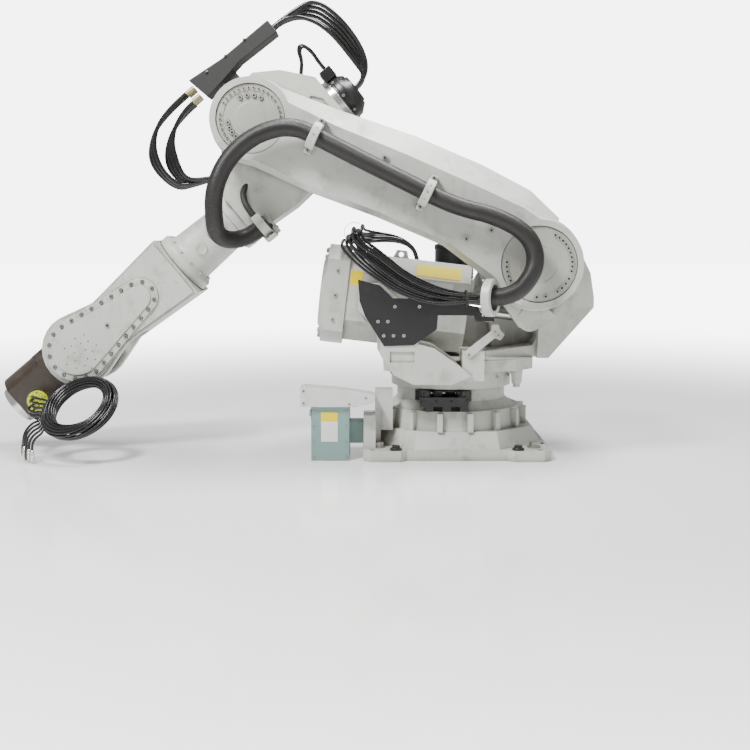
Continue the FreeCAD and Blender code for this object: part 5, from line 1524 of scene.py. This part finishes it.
@dataclass
class Wrist:
    """Wrist head, cable outlet, tool plate and the coiled cords."""

    body: str = "wrist"
    cord_radius: float = 0.005
    middle: Vector = field(default_factory=lambda: Vector((-1.492, -0.318, 0.215)))
    coil_radius: float = 0.140
    coil_half: float = 0.026
    roll: float = 20.0
    tip: float = 53.0
    turns: int = 3
    points_per_turn: int = 13
    spread: float = 0.0238
    skin_gap: float = 0.002
    bore_circle: float = 0.0625

    def build(self) -> None:
        """Dress every piece of the wrist."""
        SHOP.refined("wrist_head", self.body, BRONZE, 5.0 * MM)
        SHOP.refined("tool_flange", "tool_plate", MACHINED, 1.0 * MM)
        self.outlet()
        self.coiled_cords()
        self.head_screws()

    def on_coil(self, turn: float, reach: float, lift: float = 0.0) -> Vector:
        """Return a point in the coil's tipped plane.

        Args:
            turn: the angle round the coil in degrees.
            reach: the distance to the coil's middle.
            lift: the distance above the coil's plane.

        Returns:
            The point.
        """
        roll = math.radians(self.roll)
        tip = math.radians(self.tip)
        long_way = Vector((math.cos(roll), 0.0, math.sin(roll)))
        cross = Vector((-math.sin(roll) * math.cos(tip), math.sin(tip), math.cos(roll) * math.cos(tip)))
        angle = math.radians(turn)
        flat = long_way * math.cos(angle) + cross * math.sin(angle)
        return self.middle + flat * reach + long_way.cross(cross) * lift

    def outlet(self) -> None:
        """Turn the cable outlet: a plate, a fluted nut and its seal."""
        low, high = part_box("cable_outlet")
        centre = Vector(((low.x + high.x) / 2.0, high.y, (low.z + high.z) / 2.0))
        profile = [(0.0, 0.0435), (0.012, 0.0435), (0.0155, 0.040), (0.0155, 0.033), (0.020, 0.032), (0.042, 0.031),
                   (0.0435, 0.029), (0.0435, 0.025), (0.036, 0.024), (0.036, 0.001)]
        SHOP.drum("outlet_nut", self.body, YELLOW, centre, NEAR, profile, 48, ["cable_outlet"])
        ribs = [centre + Vector((0.0325 * math.cos(turn), -0.031, 0.0325 * math.sin(turn)))
                for turn in bearings(0.0, 345.0, 16)]
        ways = [spot - Vector((centre.x, spot.y, centre.z)) for spot in ribs]
        SHOP.screws("outlet_flutes", self.body, ribs, ways, 3.4 * MM, YELLOW, height=1.5 * MM, rim=YELLOW)
        spots = [centre + Vector((0.038 * math.cos(turn), -0.0155, 0.038 * math.sin(turn)))
                 for turn in bearings(30.0, 330.0, 6)]
        SHOP.screws("outlet_screws", self.body, spots, NEAR, 3.0 * MM, ZINC)

    def cord_route(self, i: int, exit_spot: Vector) -> tuple[list[tuple[float, float, float]], Vector]:
        """Return one cord's control points from the outlet round the coil to its plug.

        Args:
            i: the cord's number.
            exit_spot: the middle of the outlet's mouth.

        Returns:
            The control points and the cord's end.
        """
        side = 0.009 if i in (0, 2) else -0.009
        start = exit_spot + Vector((side, 0.0, 0.012 * i - 0.024))
        lead = 168.0 - 6.5 * i
        bend = self.on_coil(lead, self.coil_radius + 0.100 + 0.003 * i)
        down = Vector((start.x, start.y + 0.34 * (bend.y - start.y), start.z))
        tail = 178.0 + 6.5 * i
        skin = self.coil_radius + self.coil_half
        entry = self.on_coil(lead, skin + self.skin_gap)
        points = [start, start.lerp(down, 0.5), down, bend.lerp(down, 0.42), bend.lerp(entry, 0.45), entry]
        span = 360.0 * self.turns + tail - lead
        count = self.points_per_turn * self.turns
        for k in range(1, count):
            share = k / count
            at = lead + span * share
            strand = math.radians(24.0 * i + 120.0 * self.turns * share)
            spread = self.spread + 0.0012 * math.sin(5.0 * share + 2.0 * i)
            loose = 0.006 * math.sin(math.radians(1.37 * span * share)) - 0.002
            reach = self.coil_radius + loose + spread * math.cos(strand)
            points.append(self.on_coil(at, reach, spread * math.sin(strand)))
        low = self.on_coil(tail, self.coil_radius + 0.068)
        step = 4 - i
        drop = 0.026 + 0.0047 * step
        hang = low + Vector((-0.014 - 0.0052 * step, -0.002, -drop))
        end = hang + Vector((0.0, 0.0, -0.9 * drop))
        points += [self.on_coil(tail, skin + self.skin_gap), low, hang, end]
        return [tuple(point) for point in points], end

    def coiled_cords(self) -> None:
        """Wind five cords from the outlet into the coil and let their plugs hang."""
        low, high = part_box("cable_outlet")
        exit_spot = Vector(((low.x + high.x) / 2.0, low.y - 0.0004, (low.z + high.z) / 2.0))
        for i, length in enumerate(CORD_LENGTHS):
            route, end = self.cord_route(i, exit_spot)
            curve = bpy.data.curves.new(f"wrist_cord_{i}", "CURVE")
            curve.dimensions = "3D"
            curve.resolution_u = 8
            curve.bevel_depth = self.cord_radius
            curve.bevel_resolution = 3
            curve.use_fill_caps = True
            spline = curve.splines.new("NURBS")
            spline.points.add(len(route) - 1)
            for spot, knot in zip(route, spline.points):
                knot.co = (*spot, 1.0)
            spline.order_u = 3
            spline.use_endpoint_u = True
            curve.materials.append(RUBBER.material())
            cord = bpy.data.objects.new(f"wrist_cord_{i}", curve)
            bpy.context.scene.collection.objects.link(cord)
            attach(cord, self.body)
            if i == 0:
                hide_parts("cable_coil", "cable_tails")
            plug = self.plug(i, end)
            log.info("wrist_cord_%d on %s, %d points", i, self.body, len(route))

    def plug(self, i: int, top: Vector) -> bpy.types.Object:
        """Turn one connector that hangs from a cord's end.

        Args:
            i: the cord's number.
            top: the cord's end.

        Returns:
            The connector.
        """
        start = top + Vector((0.0, 0.0, 0.0004))
        profile = [(0.0, 0.0058), (0.002, 0.0075), (0.010, 0.0080), (0.011, 0.0088), (0.018, 0.0088), (0.019, 0.0080),
                   (0.022, 0.0080), (0.023, 0.0090), (0.037, 0.0090), (0.039, 0.0078), (0.0455, 0.0078),
                   (0.0455, 0.0062), (0.038, 0.0060), (0.038, 0.0005)]
        stands = ["wrist_plugs"] if i == 0 else []
        finish = BLACK if i in (0, 2) else STEEL
        return SHOP.drum(f"wrist_plug_{i}", self.body, finish, start, -UP, profile, 28, stands)

    def head_screws(self) -> None:
        """Cover the tool plate's threaded holes with flat dark discs: painted shade standing in for the holes."""
        reach = self.bore_circle
        spots = [UPPER.at(WRIST_X - 0.337, reach * math.cos(turn), FOREARM_DROP + reach * math.sin(turn))
                 for turn in bearings(22.5, 337.5, 8)]
        SHOP.screws("flange_bore_plugs", "tool_plate", spots, -UPPER.along, 4.6 * MM, BLACK, height=0.8 * MM,
                    washer=4.6 * MM)


@dataclass
class Hoses:
    """The thick hose: one stretch along the arm and a free loop at each end."""

    tube: Tube = field(default_factory=lambda: Tube(0.0348, 32, 0.0056, 0.0009))

    def build(self) -> None:
        """Make the three stretches."""
        self.straight()
        self.shoulder_loop()
        self.elbow_loop()

    def stretch(self, name: str, route: Route, node: str) -> bpy.types.Object:
        """Return one ribbed stretch of hose that stands for a node.

        Args:
            name: the piece's name.
            route: its line's control points.
            node: the CAD node it stands for.

        Returns:
            The new piece, which rides on nothing yet.
        """
        shape = bmesh.new()
        add_tube(shape, self.tube, smooth_line(route, 14))
        thing = SHOP.from_bmesh(name, shape, HOSE, 60.0)
        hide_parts(node)
        log.info("%s, %d faces", name, len(thing.data.polygons))
        return thing

    def straight(self) -> None:
        """Lay the stretch between the two clamps."""
        spots = [(-1.017, HOSE_LIFT), (-0.900, HOSE_LIFT), (-0.756, HOSE_LIFT - 0.001), (-0.620, HOSE_LIFT),
                 (-0.495, HOSE_LIFT)]
        thing = self.stretch("hose_middle", [tuple(LOWER.at(x, HOSE_LAYER, z)) for x, z in spots], "hose_on_arm")
        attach(thing, "lower_arm")

    def shoulder_loop(self) -> None:
        """Bend the loop round the shoulder from the lower clamp to the turret's ring."""
        spots = [(-0.496, HOSE_LIFT), (-0.400, HOSE_LIFT), (-0.240, 0.088), (-0.095, 0.080), (-0.018, 0.000),
                 (-0.022, -0.110), (-0.070, -0.175)]
        route = [tuple(LOWER.at(x, HOSE_LAYER, z)) for x, z in spots] + [(0.112, HOSE_LAYER, 0.654)]
        thing = self.stretch("hose_shoulder", route, "hose_shoulder_loop")
        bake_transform(thing)

    def elbow_loop(self) -> None:
        """Bend the loop round the elbow from the upper clamp to the bracket under the housing."""
        lower = [(-1.016, HOSE_LIFT), (-1.087, HOSE_LIFT)]
        upper = [(-0.020, HOSE_LAYER, -0.066), (-0.165, HOSE_LAYER, -0.066), (-0.285, HOSE_LAYER, -0.125),
                 (-0.363, -0.385, -0.215), (-0.388, -0.333, -0.249), (-0.381, -0.278, -0.286),
                 (-0.344, -0.231, -0.316), (-0.285, -0.2054, -0.333), (-0.215, -0.2054, -0.333)]
        route = [tuple(LOWER.at(x, HOSE_LAYER, z)) for x, z in lower] + [tuple(UPPER.at(*spot)) for spot in upper]
        thing = self.stretch("hose_elbow", route, "hose_elbow_loop")
        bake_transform(thing)


@dataclass
class Studio:
    """Floor, lights and camera."""

    aim: Vector = field(default_factory=lambda: Vector((-0.320, 0.0, 0.305)))
    distance: float = 5.0
    camera_lift: float = 6.8
    lens: float = 56.74
    fade_start: float = 1.6
    fade_end: float = 7.0
    backdrop: float = 6.0
    mirrored_sky: float = 0.45
    sky_light: float = 0.13
    floor_tone: float = 0.80
    floor_glow: float = 0.26
    lit_spot: Vector = field(default_factory=lambda: Vector((-0.5, 0.0, 0.7)))

    def build(self) -> None:
        """Set up the whole studio."""
        self.floor()
        self.lights()
        self.camera()

    def floor(self) -> None:
        """Lay a plain pale floor that fades into the backdrop."""
        shape = bmesh.new()
        bmesh.ops.create_grid(shape, x_segments=1, y_segments=1, size=30.0)
        mesh = bpy.data.meshes.new("floor")
        shape.to_mesh(mesh)
        shape.free()
        thing = bpy.data.objects.new("floor", mesh)
        bpy.context.scene.collection.objects.link(thing)
        made = bpy.data.materials.new("pale_floor")
        made.use_nodes = True
        shader = made.node_tree.nodes["Principled BSDF"]
        shader.inputs["Base Color"].default_value = rgba((self.floor_tone,) * 3)
        shader.inputs["Roughness"].default_value = 0.10
        shader.inputs["Emission Color"].default_value = (1.0, 1.0, 1.0, 1.0)
        wires = Wiring(made.node_tree)
        place = wires.add("ShaderNodeTexCoord")
        reach = wires.add("ShaderNodeVectorMath", operation="LENGTH")
        wires.join(place.outputs["Object"], reach.inputs[0])
        far = wires.ramp(reach.outputs["Value"], self.fade_start, self.fade_end)
        seen = wires.add("ShaderNodeLightPath").outputs["Is Camera Ray"]
        glow = wires.maths("MULTIPLY", wires.maths("MULTIPLY", far, seen), self.backdrop)
        wires.join(wires.maths("ADD", glow, self.floor_glow), shader.inputs["Emission Strength"])
        mesh.materials.append(made)

    def lights(self) -> None:
        """Hang large soft lights and a pale sky that is brighter as a backdrop than as a light."""
        world = bpy.data.worlds.new("studio")
        world.use_nodes = True
        wires = Wiring(world.node_tree)
        sky = world.node_tree.nodes["Background"]
        sky.inputs["Color"].default_value = (1.0, 1.0, 1.0, 1.0)
        sky_path = wires.add("ShaderNodeLightPath")
        seen = sky_path.outputs["Is Camera Ray"]
        mirrored = sky_path.outputs["Is Glossy Ray"]
        bright = wires.maths("ADD", wires.maths("MULTIPLY", seen, self.backdrop),
                             wires.maths("MULTIPLY", mirrored, self.mirrored_sky))
        wires.join(wires.maths("ADD", bright, self.sky_light), sky.inputs["Strength"])
        bpy.context.scene.world = world
        self.panel("key_light", Vector((-2.4, -2.6, 4.6)), 1.1, 430.0)
        self.panel("fill_light", Vector((3.0, -3.0, 2.4)), 2.6, 25.0)
        self.panel("top_light", Vector((0.4, 0.2, 4.8)), 1.8, 420.0)

    def panel(self, name: str, place: Vector, size: float, power: float) -> None:
        """Hang one square light aimed at the robot.

        Args:
            name: the light's name.
            place: where it hangs.
            size: the length of its side.
            power: its power in watts.
        """
        lamp = bpy.data.lights.new(name, "AREA")
        lamp.size = size
        lamp.energy = power
        thing = bpy.data.objects.new(name, lamp)
        bpy.context.scene.collection.objects.link(thing)
        thing.location = place
        thing.rotation_euler = (self.lit_spot - place).to_track_quat("-Z", "Y").to_euler()

    def camera(self) -> None:
        """Stand the camera square to the robot's side, a little above it."""
        lens = bpy.data.cameras.new("camera")
        lens.lens = self.lens
        lens.sensor_width = 36.0
        thing = bpy.data.objects.new("camera", lens)
        bpy.context.scene.collection.objects.link(thing)
        lift = math.radians(self.camera_lift)
        back = Vector((0.0, -math.cos(lift), math.sin(lift)))
        thing.location = self.aim + back * self.distance
        thing.rotation_euler = (-back).to_track_quat("-Z", "Y").to_euler()
        bpy.context.scene.camera = thing


def main() -> None:
    """Build the studio, then the robot piece by piece, and log each part as it is built."""
    logging.basicConfig(level=logging.INFO, format="%(name)s: %(message)s")
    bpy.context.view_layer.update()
    for part in (Studio(), Hoses(), Foundation(), Turntable(), Balancer(), LowerArm(), Elbow(), Forearm(), Wrist()):
        part.build()
        log.info("%s built", type(part).__name__)


if __name__ == "__main__":
    main()
